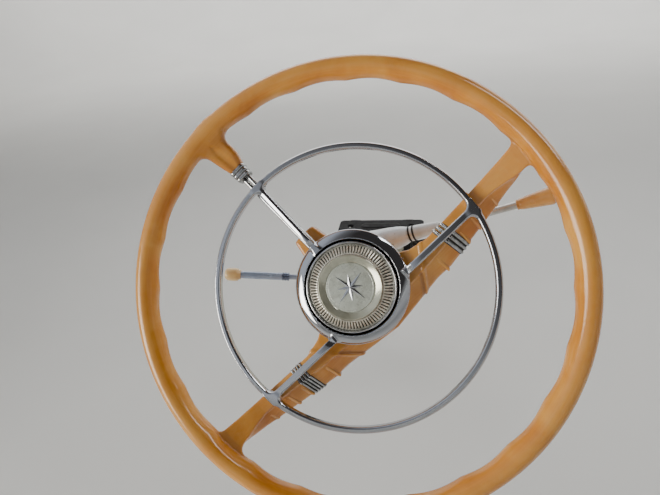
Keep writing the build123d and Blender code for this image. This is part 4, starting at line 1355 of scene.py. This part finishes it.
# clamping band round the jacket under the head, its ears drawn up by a screw
P, F = turned(at_col(0, 0, 142.2), (0, 0, -1), [(0, 24.1), (0, 26.0), (0.4, 26.5), (3.0, 26.6), (6.0, 26.6), (8.6, 26.5), (9.0, 26.0), (9.0, 24.1)], 72)
ear = []
for sx in (-1, 1):
    Q, G = turned(at_col(sx * 1.6, -26, 146.7), (0, -1, 0), [(-2, 2.9), (0, 4.2), (5.5, 4.2), (7.2, 3.4), (7.6, 2.0)], 24)
    Q[:, 0] = sx * 2.6 + (Q[:, 0] - sx * 1.6) * 0.30
    ear.append((Q, G))
P, F = join([(P, F)] + ear + [hex_bolt(at_col(3.4, -30.4, 146.7), (1, 0, 0), 2.6, 2.2, 3.9), turned(at_col(-3.6, -30.4, 146.7), (-1, 0, 0), [(0, 1.5), (0, 3.2, 2.6), (2.4, 3.0, 2.6), (2.6, 2.3), (4.4, 1.5), (4.6, 1.1)], 24)])
build("jacket_band", P, F, COL, "column", STEEL_W, sharp=35)

# rubber boot on the toe-board plate: two bellows folds and a wired lip
BOOT = [(0.0, 1.0), (2.2, 1.02), (3.0, 0.95), (4.0, 0.80), (5.2, 0.86), (6.6, 0.88), (7.8, 0.80), (8.8, 0.64), (10.0, 0.68), (11.2, 0.70), (12.4, 0.62), (13.6, 0.46), (16.0, 0.40)]


def f_boot(x, y, h):
    t = np.clip((637.0 + h) * 1.0, -2, 18)
    w = np.interp(t, [b[0] for b in BOOT], [b[1] for b in BOOT])
    r0, r1 = 26.0 + 10.0 * w, SHR + 1.6 + 7.0 * w
    # hull of two circles, one round the jacket and one round the gear rod
    k = np.clip((x * HX + y * HY) / HL, 0, 1)
    d = np.hypot(x - k * HX * HL, y - k * HY * HL) - (r0 * (1 - k) + r1 * k)
    f = smax(d, smax(h + 621.0, -h - 637.0, 1.0), 1.2)
    f = smax(f, 24.1 - np.hypot(x, y), 0.4)
    return smax(f, SHR + 0.1 - np.hypot(x - 8.0, y - 41.5), 0.4)


SHR = 8.0
HL = math.hypot(8.0, 41.5)
HX, HY = 8.0 / HL, 41.5 / HL


P, Q, NN = net(f_boot, (-42, -42, -640), (42, 72, -618), 1.1 if FULL else 1.7)
build("floor_boot", P, Q, COL, "column", RUBBER_W, ("floor_seal",), normals=NN)
# pressed bead round the plate
P, F = lathe(rounded([(66.0, -637.1), (66.0, -635.6), (69.5, -635.6), (69.5, -637.1)], [0, 1.2, 1.2, 0], 30), 120)
build("plate_bead", P, F, COL, "column", BLACK_N, sharp=40, attrs={"cav": np.ones(len(P)), "edge": np.zeros(len(P))})

# lower bearing of the gear rod
def f_bearing(x, y, h):
    k = np.clip((x * HX + y * HY) / HL, 0, 1)
    d = np.hypot(x - k * HX * HL, y - k * HY * HL) - (29.0 * (1 - k) + 13.0 * k)
    waist = smin(np.hypot(x, y) - 28.6, np.hypot(x - 8.0, y - 41.5) - 12.8, 1.0)
    web = smax(d + 3.0, np.abs(h + 737.0) - 4.0, 1.5)
    f = smin(smax(waist, np.abs(h + 737.0) - 7.0, 1.6), web, 3.0)
    f = smax(f, 24.1 - np.hypot(x, y), 0.4)
    return smax(f, SHR + 0.1 - np.hypot(x - 8.0, y - 41.5), 0.4)


netted("gear_rod_bearing", f_bearing, (-32, -32, -748), (32, 60, -727), 0.95 if FULL else 1.6, COL, "column", CAST_N, ("shift_bearing",), 2.5, 1.2)
AEX, AEY = 74.0, 61.5


def f_shift_arm(x, y, h):
    ux, uy = (AEX - 8.0), (AEY - 41.5)
    L = math.hypot(ux, uy)
    ux, uy = ux / L, uy / L
    px_, py_ = x - 8.0, y - 41.5
    k = np.clip((px_ * ux + py_ * uy) / L, 0, 1)
    d = np.hypot(px_ - k * ux * L, py_ - k * uy * L)
    big = smax(np.hypot(px_, py_) - 14.0, np.abs(h + 757.0) - 4.0, 1.4)
    eye = smax(np.hypot(x - AEX, y - AEY) - 9.0, np.abs(h + 757.0) - 4.0, 1.4)
    rim_ = smax(d - (12.5 - 5.2 * k), np.abs(h + 757.0) - 3.4, 1.4)
    pocket = smax(d - (8.2 - 4.6 * k), -(np.abs(h + 757.0) - 2.0), 1.0)
    bar = smax(rim_, -pocket, 1.0)
    f = smin(smin(big, eye, 2.5), bar, 2.0)
    f = smax(f, 4.1 - np.hypot(x - AEX, y - AEY), 0.4)
    return smax(f, SHR + 0.05 - np.hypot(px_, py_), 0.4)


netted("gear_rod_arm", f_shift_arm, (-8, 25, -763), (86, 74, -751), 0.75 if FULL else 1.3, COL, "column", BLACK_N, ("shift_arm",), 2.0, 1.0)
# lower end of the rod, with its nut
P, F = turned(at_col(8, 41.5, 761), (0, 0, -1), [(-0.5, 7.0), (0, 11.5), (0.8, 11.6), (1.2, 11.2), (1.25, 9.4, 8.2), (2.6, 9.2, 8.2), (3.0, 8.4, 8.2), (3.0, 5.0)], 36)
build("gear_rod_nut", P, F, COL, "column", STEEL_W, sharp=35)

# clamp that draws the box's split neck on to the jacket
def f_clamp(x, y, h):
    r = np.hypot(x, y)
    z = h + 795.0
    ring = smax(smax(r - 33.4, 30.05 - r, 0.5), np.abs(z) - 9.0, 1.0)
    lug = smax(smax(np.abs(x) - 9.0, np.abs(y + 38.5) - 10.0, 2.5), np.abs(z) - 9.0, 2.0)
    f = smin(ring, lug, 3.0)
    f = smax(f, -smax(np.abs(x) - 1.5, y + 29.0, 0.5), 0.5)
    f = smax(f, 30.05 - r, 0.4)
    return smax(f, -(np.hypot(y + 41.5, z) - 3.3), 0.4)


netted("neck_clamp", f_clamp, (-36, -52, -806), (36, 36, -784), 0.95 if FULL else 1.6, COL, "column", CAST_N, ("jacket_clamp",), 2.5, 1.2)

# fasteners on the column
parts = [turned(at_col(-12.0, -41.5, 795), (1, 0, 0), [(-1.5, 3.1), (24, 3.1)], 20),
         hex_bolt(at_col(-9.2, -41.5, 795), (-1, 0, 0), 5.2, 4.0, 7.0), stud_nut(at_col(9.2, -41.5, 795), (1, 0, 0), 5.2, 4.4, 7.0, 3.0, 3.0)]
for sx in (-1, 1):
    for dz in (-7.5, 7.5):
        parts.append(hex_bolt(at_col(sx * 36.0, 5.0, 330 + dz), (0, 1, 0), 4.2, 3.6, 6.4, 0.3 * sx))
        parts.append(stud_nut(at_col(sx * 36.0, -4.0, 330 + dz), (0, -1, 0), 4.2, 3.8, 6.4, 2.6, 2.6, 0.5 * sx))


P, F = join(parts)
build("column_fasteners", P, F, COL, "column", STEEL_W, sharp=35)
# pressed hanger: a saddle on the jacket, two channel legs and a plate that bolts under the dash
HANG_D, HANG_W, HANG_UP = 330.0, 34.0, 78.0
HANG_Y, HANG_Z = (RIM_C - AX * HANG_D)[1:]
q0 = (AX * HANG_W / 2)[1:]
QUAD = [q0, -q0, np.array([24.0, HANG_UP]), np.array([-14.0, HANG_UP])]     # a leg's outline, from the saddle to the plate


def quad_edges(wy, wz):
    """how far a place is outside each edge of a leg's outline: saddle, rear, plate, front"""
    out = []
    mid = sum(QUAD) / 4
    for i in range(4):
        a, b = QUAD[i], QUAD[(i + 1) % 4]
        t = unit(b - a)
        nrm = np.array([t[1], -t[0]])
        if nrm @ (mid - a) > 0:
            nrm = -nrm
        out.append((wy - a[0]) * nrm[0] + (wz - a[1]) * nrm[1])
    return out


def f_hanger(x, y, h):
    wy = RIM_C[1] + y * UP[1] + h * AX[1] - HANG_Y
    wz = RIM_C[2] + y * UP[2] + h * AX[2] - HANG_Z
    ax = np.abs(x)
    r = np.hypot(x, y)
    d = np.abs(h + HANG_D) - HANG_W / 2
    ring = smax(np.abs(r - 26.0) - 2.0, -y - 0.2, 0.8)
    flat = smax(ax - 46.0, np.abs(y - 2.5) - 2.5, 1.8)
    saddle = smax(smin(ring, flat, 5.0), d, 1.6)
    e0, e1, e2, e3 = quad_edges(wy, wz)
    body = smax(smax(e1, e3, 3.0), smax(e0 + 0.6, e2 - 1.5, 1.0), 1.0)
    web = smax(body, np.abs(ax - 42.0) - 1.9, 1.5)
    # flanges turned in along both sloping edges, and a pressed rib up the middle
    near = smax(-(np.maximum(e1, e3) + 3.2), body, 1.4)
    turned_in = smax(near, smax(ax - 43.9, 35.0 - ax, 1.4), 1.4)
    leg = smin(web, turned_in, 2.0)
    across = (e1 - e3) * 0.5
    rib = smax(np.hypot((across) * 1.0, (ax - 44.0) * 2.2) - 4.6, smax(14.0 - wz, wz - 66.0, 4.0), 2.5)
    leg = smin(leg, smax(rib, ax - 46.6, 1.2), 2.0)
    px, py = np.abs(x) - 57.0, np.abs(wy - 5.0) - 13.0
    plan = np.hypot(np.maximum(px, 0), np.maximum(py, 0)) + np.minimum(np.maximum(px, py), 0) - 6.0
    plate = smax(plan, np.abs(wz - HANG_UP - 2.0) - 2.0, 1.4)
    # shallow pressed bead between the bolt holes
    bead = np.hypot(np.maximum(np.abs(x) - 22.0, 0), wy - 5.0) - 7.0
    plate = smin(plate, smax(bead + 0.5, smax(wz - HANG_UP - 5.3, HANG_UP + 1.0 - wz, 1.0), 2.2), 1.6)
    f = smin(smin(saddle, leg, 3.2), plate, 4.5)
    f = smax(f, 24.08 - r, 0.4)
    hole = smax(np.hypot(ax - 45.0, wy - 5.0) - 4.3, HANG_UP - 1.5 - wz, 0.4)
    return smax(f, -hole, 0.5)


netted("dash_hanger", f_hanger, (-65, -3, -366), (65, 88, -278), 1.4 if FULL else 2.0, COL, "column", MATT_N, ("dash_bracket",), 2.5, 1.3)


def f_strap(x, y, h):
    r = np.hypot(x, y)
    d = np.abs(h + HANG_D)
    ring = smax(np.abs(r - 25.8) - 1.75, y + 0.4, 0.8)
    ring = smin(ring, smax(smax(np.hypot((r - 27.4) * 1.5, d) - 3.2, y + 6.0, 2.0), 24.6 - r, 0.5), 2.0)
    flat = smax(np.hypot(np.maximum(np.abs(x) - 34.0, 0), np.maximum(d - 5.0, 0)) - 8.0, np.abs(y + 2.2) - 1.8, 1.3)
    f = smin(smax(ring, d - 13.0, 1.4), flat, 4.0)
    return smax(f, 24.08 - r, 0.4)


netted("dash_hanger_strap", f_strap, (-45, -31, -346), (45, 3, -314), 0.95 if FULL else 1.6, COL, "column", BLACK_N, ("dash_clamp",), 2.5, 1.2)

# rubber strip between the dash bracket's saddle and the jacket
P, F = turned(at_col(0, 0, 310.5), (0, 0, -1), [(0, 24.05), (0, 24.9), (0.4, 25.3), (2.5, 25.4), (2.5, 24.05)], 72)
Q, G = turned(at_col(0, 0, 347.2), (0, 0, -1), [(0, 24.05), (0, 25.4), (2.1, 25.3), (2.5, 24.9), (2.5, 24.05)], 72)
P, F = join([(P, F), (Q, G)])
build("bracket_pads", P, F, COL, "column", RUBBER_W, sharp=40)


# ---------------------------------------------------------------- the steering box, in the row's own frame
ARM_C = np.array([0.0, -0.099, -180.104])


def f_box(x, y, z):
    dx, py, pz = x - WORM[0], y - WORM[1], z - WORM[2]
    a = -py * co + pz * si          # towards the driver, along the worm
    u = py * si + pz * co
    r = np.hypot(dx, u)
    # barrel round the worm: flange at its lower end, shoulder and neck at its upper one
    R = np.interp(a, [-58, -48, -45.5, -40, 40, 52, 58, 62], [35.0, 35.0, 33.0, 32.2, 32.0, 33.0, 31.2, 28.8])
    barrel = smax(r - R, smax(-58.0 - a, a - 62.0, 1.0), 1.2)
    neck = smax(r - np.interp(a, [60, 64, 82, 86], [30.0, 28.9, 28.9, 29.9]), smax(55.0 - a, a - 86.0, 1.0), 1.0)
    # the sector's chamber
    ey, ez = SECTOR[1] - WORM[1], SECTOR[2] - WORM[2]
    L = math.hypot(ey, ez)
    k = np.clip((py * ey + pz * ez) / (L * L), 0, 1)
    d = np.hypot(py - k * ey, pz - k * ez) - (37.0 * (1 - k) + 27.5 * k)
    shrink = np.interp(x, [12, 16, 74, 77, 86], [0.0, 3.0, 2.6, 0.0, 0.0])
    body = smax(d + shrink, smax(8.0 - x, x - 86.0, 1.0), 1.4)
    # mounting flange with pads at the holes, shallow scallops between them
    qy, qz = np.abs(y) - 54.0, np.abs(z) - 48.0
    d2 = np.hypot(np.maximum(qy, 0), np.maximum(qz, 0)) + np.minimum(np.maximum(qy, qz), 0) - 12.0
    d2 = smax(d2, -(np.hypot(y, np.abs(z) - 160.0) - 105.5), 6.0)
    d2 = smax(d2, -(np.hypot(np.abs(y) - 160.0, z) - 99.5), 6.0)
    plate = smax(d2, smax(-x, x - 8.6, 0.8), 1.4)
    hy, hz = np.abs(y) - 52.0, np.abs(z) - 46.0
    hr = np.hypot(hy, hz)
    pad = smax(hr - 13.2, smax(-x, x - 12.0, 0.8), 1.0)
    flange = smin(plate, pad, 3.0)
    # boss of the sector's shaft, through the frame
    sy, sz = y - SECTOR[1], z - SECTOR[2]
    sr = np.hypot(sy, sz)
    boss = smax(sr - np.interp(x, [-44, -36, -34, 0, 12], [25.9, 25.9, 24.2, 25.2, 25.9]), smax(-44.0 - x, x - 14.0, 0.8), 1.0)
    ridge = smax(sr - np.interp(x, [12, 40], [34.0, 27.0]), smax(8.0 - x, x - 40.0, 1.0), 2.0)
    # webs between flange and barrel, and along the barrel
    web1 = smax(np.abs(a - 30.0) - 2.6, smax(np.abs(u) - 44.0 + np.clip(x - 8, 0, 60) * 0.55, x - 44.0, 1.5), 1.2)
    web2 = smax(np.abs(a + 34.0) - 2.6, smax(np.abs(u) - 42.0 + np.clip(x - 8, 0, 60) * 0.55, x - 44.0, 1.5), 1.2)
    web = smax(np.minimum(web1, web2), 4.0 - x, 1.0)
    web = smax(web, d2 + 1.5, 1.0)
    rib = smax(np.abs(u) - 2.0, smax(np.abs(dx) - 35.6, np.abs(a - 6.0) - 62.0, 1.5), 1.0)
    rib = smax(rib, -(x - 30.0), 2.0)
    # filler boss on the upper side
    fu = np.hypot(dx + 4.0, a - 14.0)
    fill = smax(fu - 11.0, smax(20.0 - u, u - 37.2, 0.8), 0.8)
    f = smin(barrel, neck, 2.0)
    f = smin(f, body, 7.0)
    f = smin(f, rib, 2.5)
    f = smin(f, fill, 3.0)
    f = smin(f, web, 3.5)
    f = smin(f, ridge, 4.0)
    f = smin(f, flange, 4.5)
    f = smin(f, boss, 0.8)
    # machined faces and bores
    f = smax(f, 6.2 - hr, 0.4)
    f = smax(f, -smax(hr - 11.4, 10.8 - x, 0.3), 0.4)
    f = smax(f, -smax(sr - 15.3, x - 60.0, 0.3), 0.3)
    f = smax(f, -smax(sr - 20.6, x + 41.5, 0.3), 0.3)
    f = smax(f, -smax(r - 24.05, 68.0 - a, 0.3), 0.3)
    f = smax(f, -smax(r - 12.4, 48.0 - a, 0.3), 0.3)
    # saw cut that lets the neck close on the jacket
    f = smax(f, -smax(np.abs(dx) - 1.4, smax(u + 20.0, 66.0 - a, 0.4), 0.4), 0.4)
    return smax(f, x - 86.0, 0.4)


netted("steering_box_casting", f_box, (-46, -68, -62), (88, 78, 76), 1.75 if FULL else 2.4, ROW, "column", CAST_N,
       ("gear_box", "mounting_flange", "sector_boss"), 3.5, 1.6)


def at_box(dx, u, a):
    """place by the worm's axis: across, up and towards the driver"""
    return WORM + RIGHT * dx + UP * u + AX * a


# end cover with its bolts
EC = (WORM, RIGHT, UP, AX)
P, F = lathe(rounded([(0.0, -66.6), (12.0, -66.6), (13.5, -64.8), (26.5, -64.8), (28.0, -65.4), (34.6, -65.4), (35.4, -64.6), (35.4, -58.6), (34.8, -58.0), (0.0, -58.0)],
                     [0, 0.8, 2.0, 1.0, 0.6, 0.8, 0.6, 0.4, 0.2, 0], 24)[::-1], 96)
build("box_end_cap", P, F, EC, "column", CAST_N, ("box_end_cover",), sharp=40, attrs={"cav": np.ones(len(P)), "edge": np.zeros(len(P))})
parts = []
for i in range(6):
    t = math.radians(30 + 60 * i)
    parts.append(hex_bolt(np.array([30.6 * math.cos(t), 30.6 * math.sin(t), -65.1]), (0, 0, -1), 3.6, 1.8, 4.4, 0.4 * i))
P, F = join(parts)
build("end_cap_bolts", P, F, EC, "column", STEEL_W, sharp=35)


# side cover
def f_side_cover(x, y, z):
    py, pz = y - WORM[1], z - WORM[2]
    ey, ez = SECTOR[1] - WORM[1], SECTOR[2] - WORM[2]
    L = math.hypot(ey, ez)
    k = np.clip((py * ey + pz * ez) / (L * L), 0, 1)
    d0 = np.hypot(py - k * ey, pz - k * ez)
    d = d0 - (22.0 * (1 - k) + 27.5 * k)
    plate = smax(d, smax(86.1 - x, x - 90.4, 0.6), 0.9)
    # a raised middle and a boss round the adjusting screw
    mid = smax(d + 9.0, smax(86.1 - x, x - 94.0, 1.2), 1.6)
    sr = np.hypot(y - SECTOR[1], z - SECTOR[2])
    boss = smax(sr - 13.5, smax(86.1 - x, x - 94.0, 0.8), 1.2)
    f = smin(smin(plate, mid, 2.0), boss, 2.0)
    for by, bz in COVER_BOLTS:
        f = smin(f, smax(np.hypot(y - by, z - bz) - 5.4, smax(86.1 - x, x - 91.4, 0.5), 0.7), 1.2)
    return f


EY, EZ = (SECTOR[1] - WORM[1]) / 62.0, (SECTOR[2] - WORM[2]) / 62.0
COVER_BOLTS = []
for along, across in ((-14.5, 6.0), (8.0, -17.5), (8.0, 17.5), (44.0, -20.3), (44.0, 20.3), (79.0, -10.5), (79.0, 10.5)):
    COVER_BOLTS.append((WORM[1] + EY * along - EZ * across, WORM[2] + EZ * along + EY * across))
COVER_BOLTS = COVER_BOLTS[1:]
netted("box_side_plate", f_side_cover, (84, -52, -64), (96, 40, 48), 1.0 if FULL else 1.6, ROW, "column", CAST_N, ("box_side_cover",), 2.5, 1.2)
parts = [hex_bolt((91.4, by, bz), (1, 0, 0), 3.4, 3.0, 4.6, 0.7 * i) for i, (by, bz) in enumerate(COVER_BOLTS)]
# lock nut and screw that take up the sector's play
parts.append(turned((94.0, SECTOR[1], SECTOR[2]), (1, 0, 0), [(-0.5, 8.0), (0.0, 9.0), (0.05, 11.0, 9.5), (4.6, 11.0, 9.5), (5.4, 10.2, 9.4), (5.9, 8.6), (6.0, 4.4)], 42, phase=0.3))
scr, g = turned((98.5, SECTOR[1], SECTOR[2]), (1, 0, 0), [(-2, 4.6)] + [(0.55 * i, 4.6 - (0.4 if i % 2 else 0)) for i in range(9)] + [(5.3, 4.0)], 28)
parts.append((scr, g))
# filler plug
parts.append(turned(at_box(-4.0, 37.0, 14.0), UP, [(-1.0, 7.0), (0.0, 8.6), (1.2, 8.8), (1.6, 8.2), (1.65, 6.6, 5.6), (6.2, 6.6, 5.6), (7.0, 6.0, 5.5), (7.1, 3.0)], 36))
P, F = join(parts)
build("box_fasteners", P, F, ROW, "column", STEEL_W, sharp=35)
# seal round the sector's shaft
P, F = turned((-44.4, SECTOR[1], SECTOR[2]), (1, 0, 0), [(0.4, 15.6), (0.1, 16.4), (0.0, 17.2), (0.3, 19.8), (1.0, 20.4), (3.0, 20.5)], 60, caps=False)
build("sector_seal", P, F, ROW, "column", RUBBER_W, sharp=40)

# ---------------------------------------------------------------- drop arm, in the row's own frame
SPL = 36


def make_sector_shaft():
    seg = SPL * 6
    rows = [(-93.9, 12.2, 0), (-93.6, 13.0, 0), (-92.4, 14.3, 0)]
    # thread for the nut, then splines that show outside the arm, a plain bearing length
    rows += [(-91.8 + 0.75 * i, 14.3 - (0.7 if i % 2 else 0), 0) for i in range(15)]
    rows += [(-80.2, 14.3, 0), (-80.1, 14.5, 1), (-57.6, 14.6, 1), (-55.2, 14.6, 1), (-54.0, 14.2, 0), (-52.4, 14.2, 0), (-51.8, 14.95, 0), (40.0, 14.95, 0), (59.0, 14.9, 0)]
    a = 2 * math.pi * np.arange(seg) / seg
    P, F = [], []
    for t, r, w in rows:
        rr = r + 0.4 * w * np.sign(np.cos(a * SPL)) * np.minimum(1, np.abs(np.cos(a * SPL)) * 3)
        P.append(np.stack([np.full(seg, t), SECTOR[1] + rr * np.cos(a), SECTOR[2] + rr * np.sin(a)], 1))
    n = len(rows)
    for i in range(n - 1):
        for k in range(seg):
            l = (k + 1) % seg
            F.append((i * seg + k, i * seg + l, (i + 1) * seg + l, (i + 1) * seg + k))
    F.append(tuple(range(seg))[::-1])
    F.append(tuple((n - 1) * seg + k for k in range(seg)))
    build("splined_shaft", np.concatenate(P), F, ROW, "drop_arm", STEEL_W, ("sector_shaft",), sharp=40)


make_sector_shaft()


def f_drop_arm(x, y, z):
    sy, sz = y - SECTOR[1], z - SECTOR[2]
    ey, ez = ARM_C[1] - SECTOR[1], ARM_C[2] - SECTOR[2]
    L = math.hypot(ey, ez)
    k0 = (sy * ey + sz * ez) / (L * L)
    k = np.clip(k0, 0, 1)
    d0 = np.hypot(sy - k * ey, sz - k * ez)
    xm = np.abs(x + 69.0)
    top = smax(np.hypot(sy, sz) - 26.6, xm - 10.8, 1.6)
    eye = smax(np.hypot(y - ARM_C[1], z - ARM_C[2]) - 16.7, xm - 10.6, 1.6)
    w = np.interp(k, [0, 0.2, 0.45, 0.8, 1], [23.0, 17.5, 13.4, 12.2, 13.0])
    t = np.interp(k, [0, 0.3, 0.9, 1], [10.2, 8.6, 8.2, 9.0])
    bar = smax(d0 - w, xm - t, 2.4)
    # forged hollow along each side of the bar
    inset = smax(d0 - w + 5.2, -(xm - np.interp(k, [0.24, 0.34, 0.76, 0.84], [12.0, 4.8, 4.8, 12.0])), 2.2)
    bar = smax(bar, -inset, 2.0)
    f = smin(smin(top, bar, 9.0), eye, 6.0)
    # parting line of the forging
    f = smin(f, smax(f - 0.5, xm - 0.8, 0.4), 0.4)
    f = smax(f, 8.0 + np.interp(x, [-80, -58], [-0.7, 0.7]) - np.hypot(y - ARM_C[1], z - ARM_C[2]), 0.5)
    return smax(f, 15.0 - np.hypot(sy, sz), 0.4)


netted("forged_drop_arm", f_drop_arm, (-82, -48, -200), (-56, 30, 2), 1.35 if FULL else 1.9, ROW, "drop_arm", BLACK_N, ("pitman_arm",), 3.0, 1.4)


def f_castle(x, y, z):
    sy, sz = y - SECTOR[1], z - SECTOR[2]
    r = np.hypot(sy, sz)
    t = np.arctan2(sz, sy)
    q = (t + 1e-6) % (math.pi / 3) - math.pi / 6
    hexa = r * np.cos(q) - 18.9
    f = smax(hexa, smax(-88.4 - x, x + 80.0, 0.4), 0.7)
    f = smax(f, r + np.clip(-84.5 - x, 0, 9) * 0.9 - 21.6, 0.6)
    tower = smax(r - 17.6, smax(-91.9 - x, x + 85.0, 0.6), 0.8)
    tower = smax(tower, -smax(np.abs(r * np.sin(q)) - 2.2, x + 88.6, 0.5), 0.5)
    f = smin(f, tower, 1.0)
    return smax(f, 14.4 - r, 0.3)


P, Q, NN = net(f_castle, (-94, -44, -56), (-78, 5, -8), 0.7 if FULL else 1.3)
build("castle_nut", P, Q, ROW, "drop_arm", STEEL_W, ("pitman_nut",), normals=NN)
# split pin through the nut, its ends bent over
pin = unit((0.0, math.cos(math.pi / 6), math.sin(math.pi / 6)))
out = unit((0.0, -math.sin(math.pi / 6), math.cos(math.pi / 6)))
c0 = np.array([-90.2, SECTOR[1], SECTOR[2]])
path = [c0 + pin * t for t in (-21.5, -19.0, 0.0, 18.2)] + [c0 + pin * 19.4 + out * 1.0, c0 + pin * 19.9 + out * 3.4, c0 + pin * 19.4 + out * 6.4]
parts = []
for i in range(len(path) - 1):
    parts.append(tube_along(path[i], path[i + 1], [(0, 1.35), (1, 1.35)], 12))
parts.append(turned(c0 - pin * 21.2, -pin, [(0, 1.2), (0.4, 2.1), (2.0, 2.3), (3.4, 1.9), (3.9, 0.8)], 20))
P, F = join(parts)
build("split_pin", P, F, ROW, "drop_arm", SATIN, sharp=40)

# ---------------------------------------------------------------- carried-over nodes
NODE_MATS = {
    "steering_shaft": STEEL, "column_jacket": CREAM, "shift_rod": CREAM,
    "floor_plate": BLACK,
}
for node_name, mat in NODE_MATS.items():
    if node_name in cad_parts:
        dress(node_name, mat)

# ---------------------------------------------------------------- floor, light and camera
def stage_sweep():
    """round pale floor that curves up all round, low on the sides and high behind the wheel"""
    z0, flat, R, n = -0.2005, 5.0, 2.3, 96
    pts, faces = [(0.0, 0.0, z0)], []
    rings = [(r, 0.0, 0.0) for r in (1.0, 2.0, 3.0, 4.0, flat)]
    rings += [(flat + R * math.sin(a), R * (1 - math.cos(a)), 0.0) for a in np.linspace(0, math.pi / 2, 13)[1:]]
    rings += [(flat + R, R, k / 4) for k in range(1, 5)]
    for r, z, k in rings:
        for i in range(n):
            t = 2 * math.pi * i / n
            behind = min(1.0, max(0.0, (math.sin(t) - 0.25) / 0.35))
            top = 0.15 + 4.75 * behind * behind * (3 - 2 * behind)
            pts.append((r * math.cos(t), r * math.sin(t), z0 + z + k * top))
    for i in range(n):
        faces.append((0, 1 + i, 1 + (i + 1) % n))
    for j in range(len(rings) - 1):
        for i in range(n):
            a, b = 1 + j * n + i, 1 + j * n + (i + 1) % n
            faces.append((a, a + n, b + n, b))
    me = bpy.data.meshes.new("studio_sweep")
    me.from_pydata(pts, [], faces)
    me.polygons.foreach_set("use_smooth", np.ones(len(me.polygons), bool))
    me.update()
    ob = bpy.data.objects.new("studio_sweep", me)
    bpy.context.scene.collection.objects.link(ob)
    m, nt, b = material("pale_floor", rough=0.75)
    N = Nodes(nt)
    src = N.add("ShaderNodeTexCoord").outputs["Object"]
    nz = N.noise(src, 1.3, 3.0, 0.5)
    N.link(N.ramp(nz, [(0.3, srgb(230, 229, 225)), (0.7, srgb(236, 235, 231))]), b.inputs["Base Color"])
    me.materials.append(m)
    ob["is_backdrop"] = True


stage_sweep()


def area_light(name, loc, target, size, power, color=(1, 1, 1), spread=180.0):
    li = bpy.data.lights.new(name, "AREA")
    li.shape = "RECTANGLE"
    li.size, li.size_y = size
    li.energy = power
    li.color = color
    li.spread = math.radians(spread)
    ob = bpy.data.objects.new(name, li)
    ob.location = loc
    ob.rotation_mode = "QUATERNION"
    ob.rotation_quaternion = (Vector(target) - Vector(loc)).to_track_quat("-Z", "Y")
    bpy.context.scene.collection.objects.link(ob)
    return ob


RC = Vector(RIM_C / 1000.0)



def lit_from(r, u, a):
    """place by the wheel: to its right, up its face and towards the driver, in metres"""
    return RC + Vector(tuple(RIGHT * r + UP * u + AX * a))


area_light("key_left", lit_from(-1.9, -0.6, 1.3), RC, (1.3, 1.3), 13.0, (1.0, 0.97, 0.89), spread=90.0)
area_light("strip_right", lit_from(1.5, 1.7, 0.35), RC, (0.35, 1.7), 15.0, (1.0, 1.0, 1.0))
area_light("top_back", lit_from(-0.3, 2.0, -0.9), RC, (2.4, 1.2), 12.0, (1.0, 1.0, 1.0))
area_light("backdrop_wash", (0.0, 3.2, 4.2), (0.0, 7.2, 2.4), (9.0, 1.6), 380.0, (1.0, 1.0, 1.0))

world = bpy.data.worlds.new("studio")
bpy.context.scene.world = world
world.use_nodes = True
wn = world.node_tree
bg = wn.nodes["Background"]
N = Nodes(wn)
dirs = N.add("ShaderNodeTexCoord").outputs["Generated"]
dot = N.add("ShaderNodeVectorMath", operation="DOT_PRODUCT")
N.link(dirs, dot.inputs[0])
# darker towards the driver's side of the wheel, so that the bright plate has something to show
dot.inputs[1].default_value = tuple(unit(0.62 * RIGHT + 0.50 * UP + 0.60 * AX))
shade = N.ramp(dot.outputs["Value"], [(0.05, (0.80, 0.85, 0.93, 1)), (0.32, (0.70, 0.74, 0.82, 1)), (0.52, (0.25, 0.25, 0.26, 1)), (0.70, (0.065, 0.060, 0.058, 1))])
rise = N.add("ShaderNodeSeparateXYZ")
N.link(dirs, rise.inputs[0])
N.link(N.mix(N.ramp(rise.outputs["Z"], [(0.17, 0.0), (0.40, 1.0)]), (0.83, 0.83, 0.805, 1), shade), bg.inputs["Color"])
bg.inputs["Strength"].default_value = 0.75

# the photograph's view: a phone's lens 0.45 m from the wheel
AXR, AYR = -0.0098, 0.2017
cx, sx, cy, sy = math.cos(AXR), math.sin(AXR), math.cos(AYR), math.sin(AYR)
MR = np.array([[cy, 0, sy], [0, 1, 0], [-sy, 0, cy]]) @ np.array([[1, 0, 0], [0, cx, -sx], [0, sx, cx]])
W3 = np.stack([RIGHT, -UP, -AX])
right, down, fwd = MR @ W3
eye = (RIM_C + 73.97 * RIGHT + 32.69 * UP + 446.71 * AX) / 1000.0
cam = bpy.data.cameras.new("photo_view")
cam.sensor_width = 36.0
cam.lens = 496.0 / 660.0 * 36.0
cam.clip_start = 0.02
cam.clip_end = 60.0
co_ = bpy.data.objects.new("photo_view", cam)
mw = Matrix.Identity(4)
for i in range(3):
    mw[i][0], mw[i][1], mw[i][2], mw[i][3] = right[i], -down[i], -fwd[i], eye[i]
co_.matrix_world = mw
bpy.context.scene.collection.objects.link(co_)
bpy.context.scene.camera = co_

# no piece's roundings stand past the part's own box, not even by a hair
BOX_LO, BOX_HI = (np.array(list(map(float, p))) for p in CAD_BOX)
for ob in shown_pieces():
    if ob.type == "MESH" and ob.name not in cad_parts:
        me = ob.data
        co3 = np.empty(len(me.vertices) * 3, np.float32)
        me.vertices.foreach_get("co", co3)
        c3 = co3.reshape(-1, 3)
        inside = np.clip(c3, BOX_LO, BOX_HI)
        if np.abs(inside - c3).max() > 1e-7:
            me.vertices.foreach_set("co", inside.astype(np.float32).ravel())
            me.update()
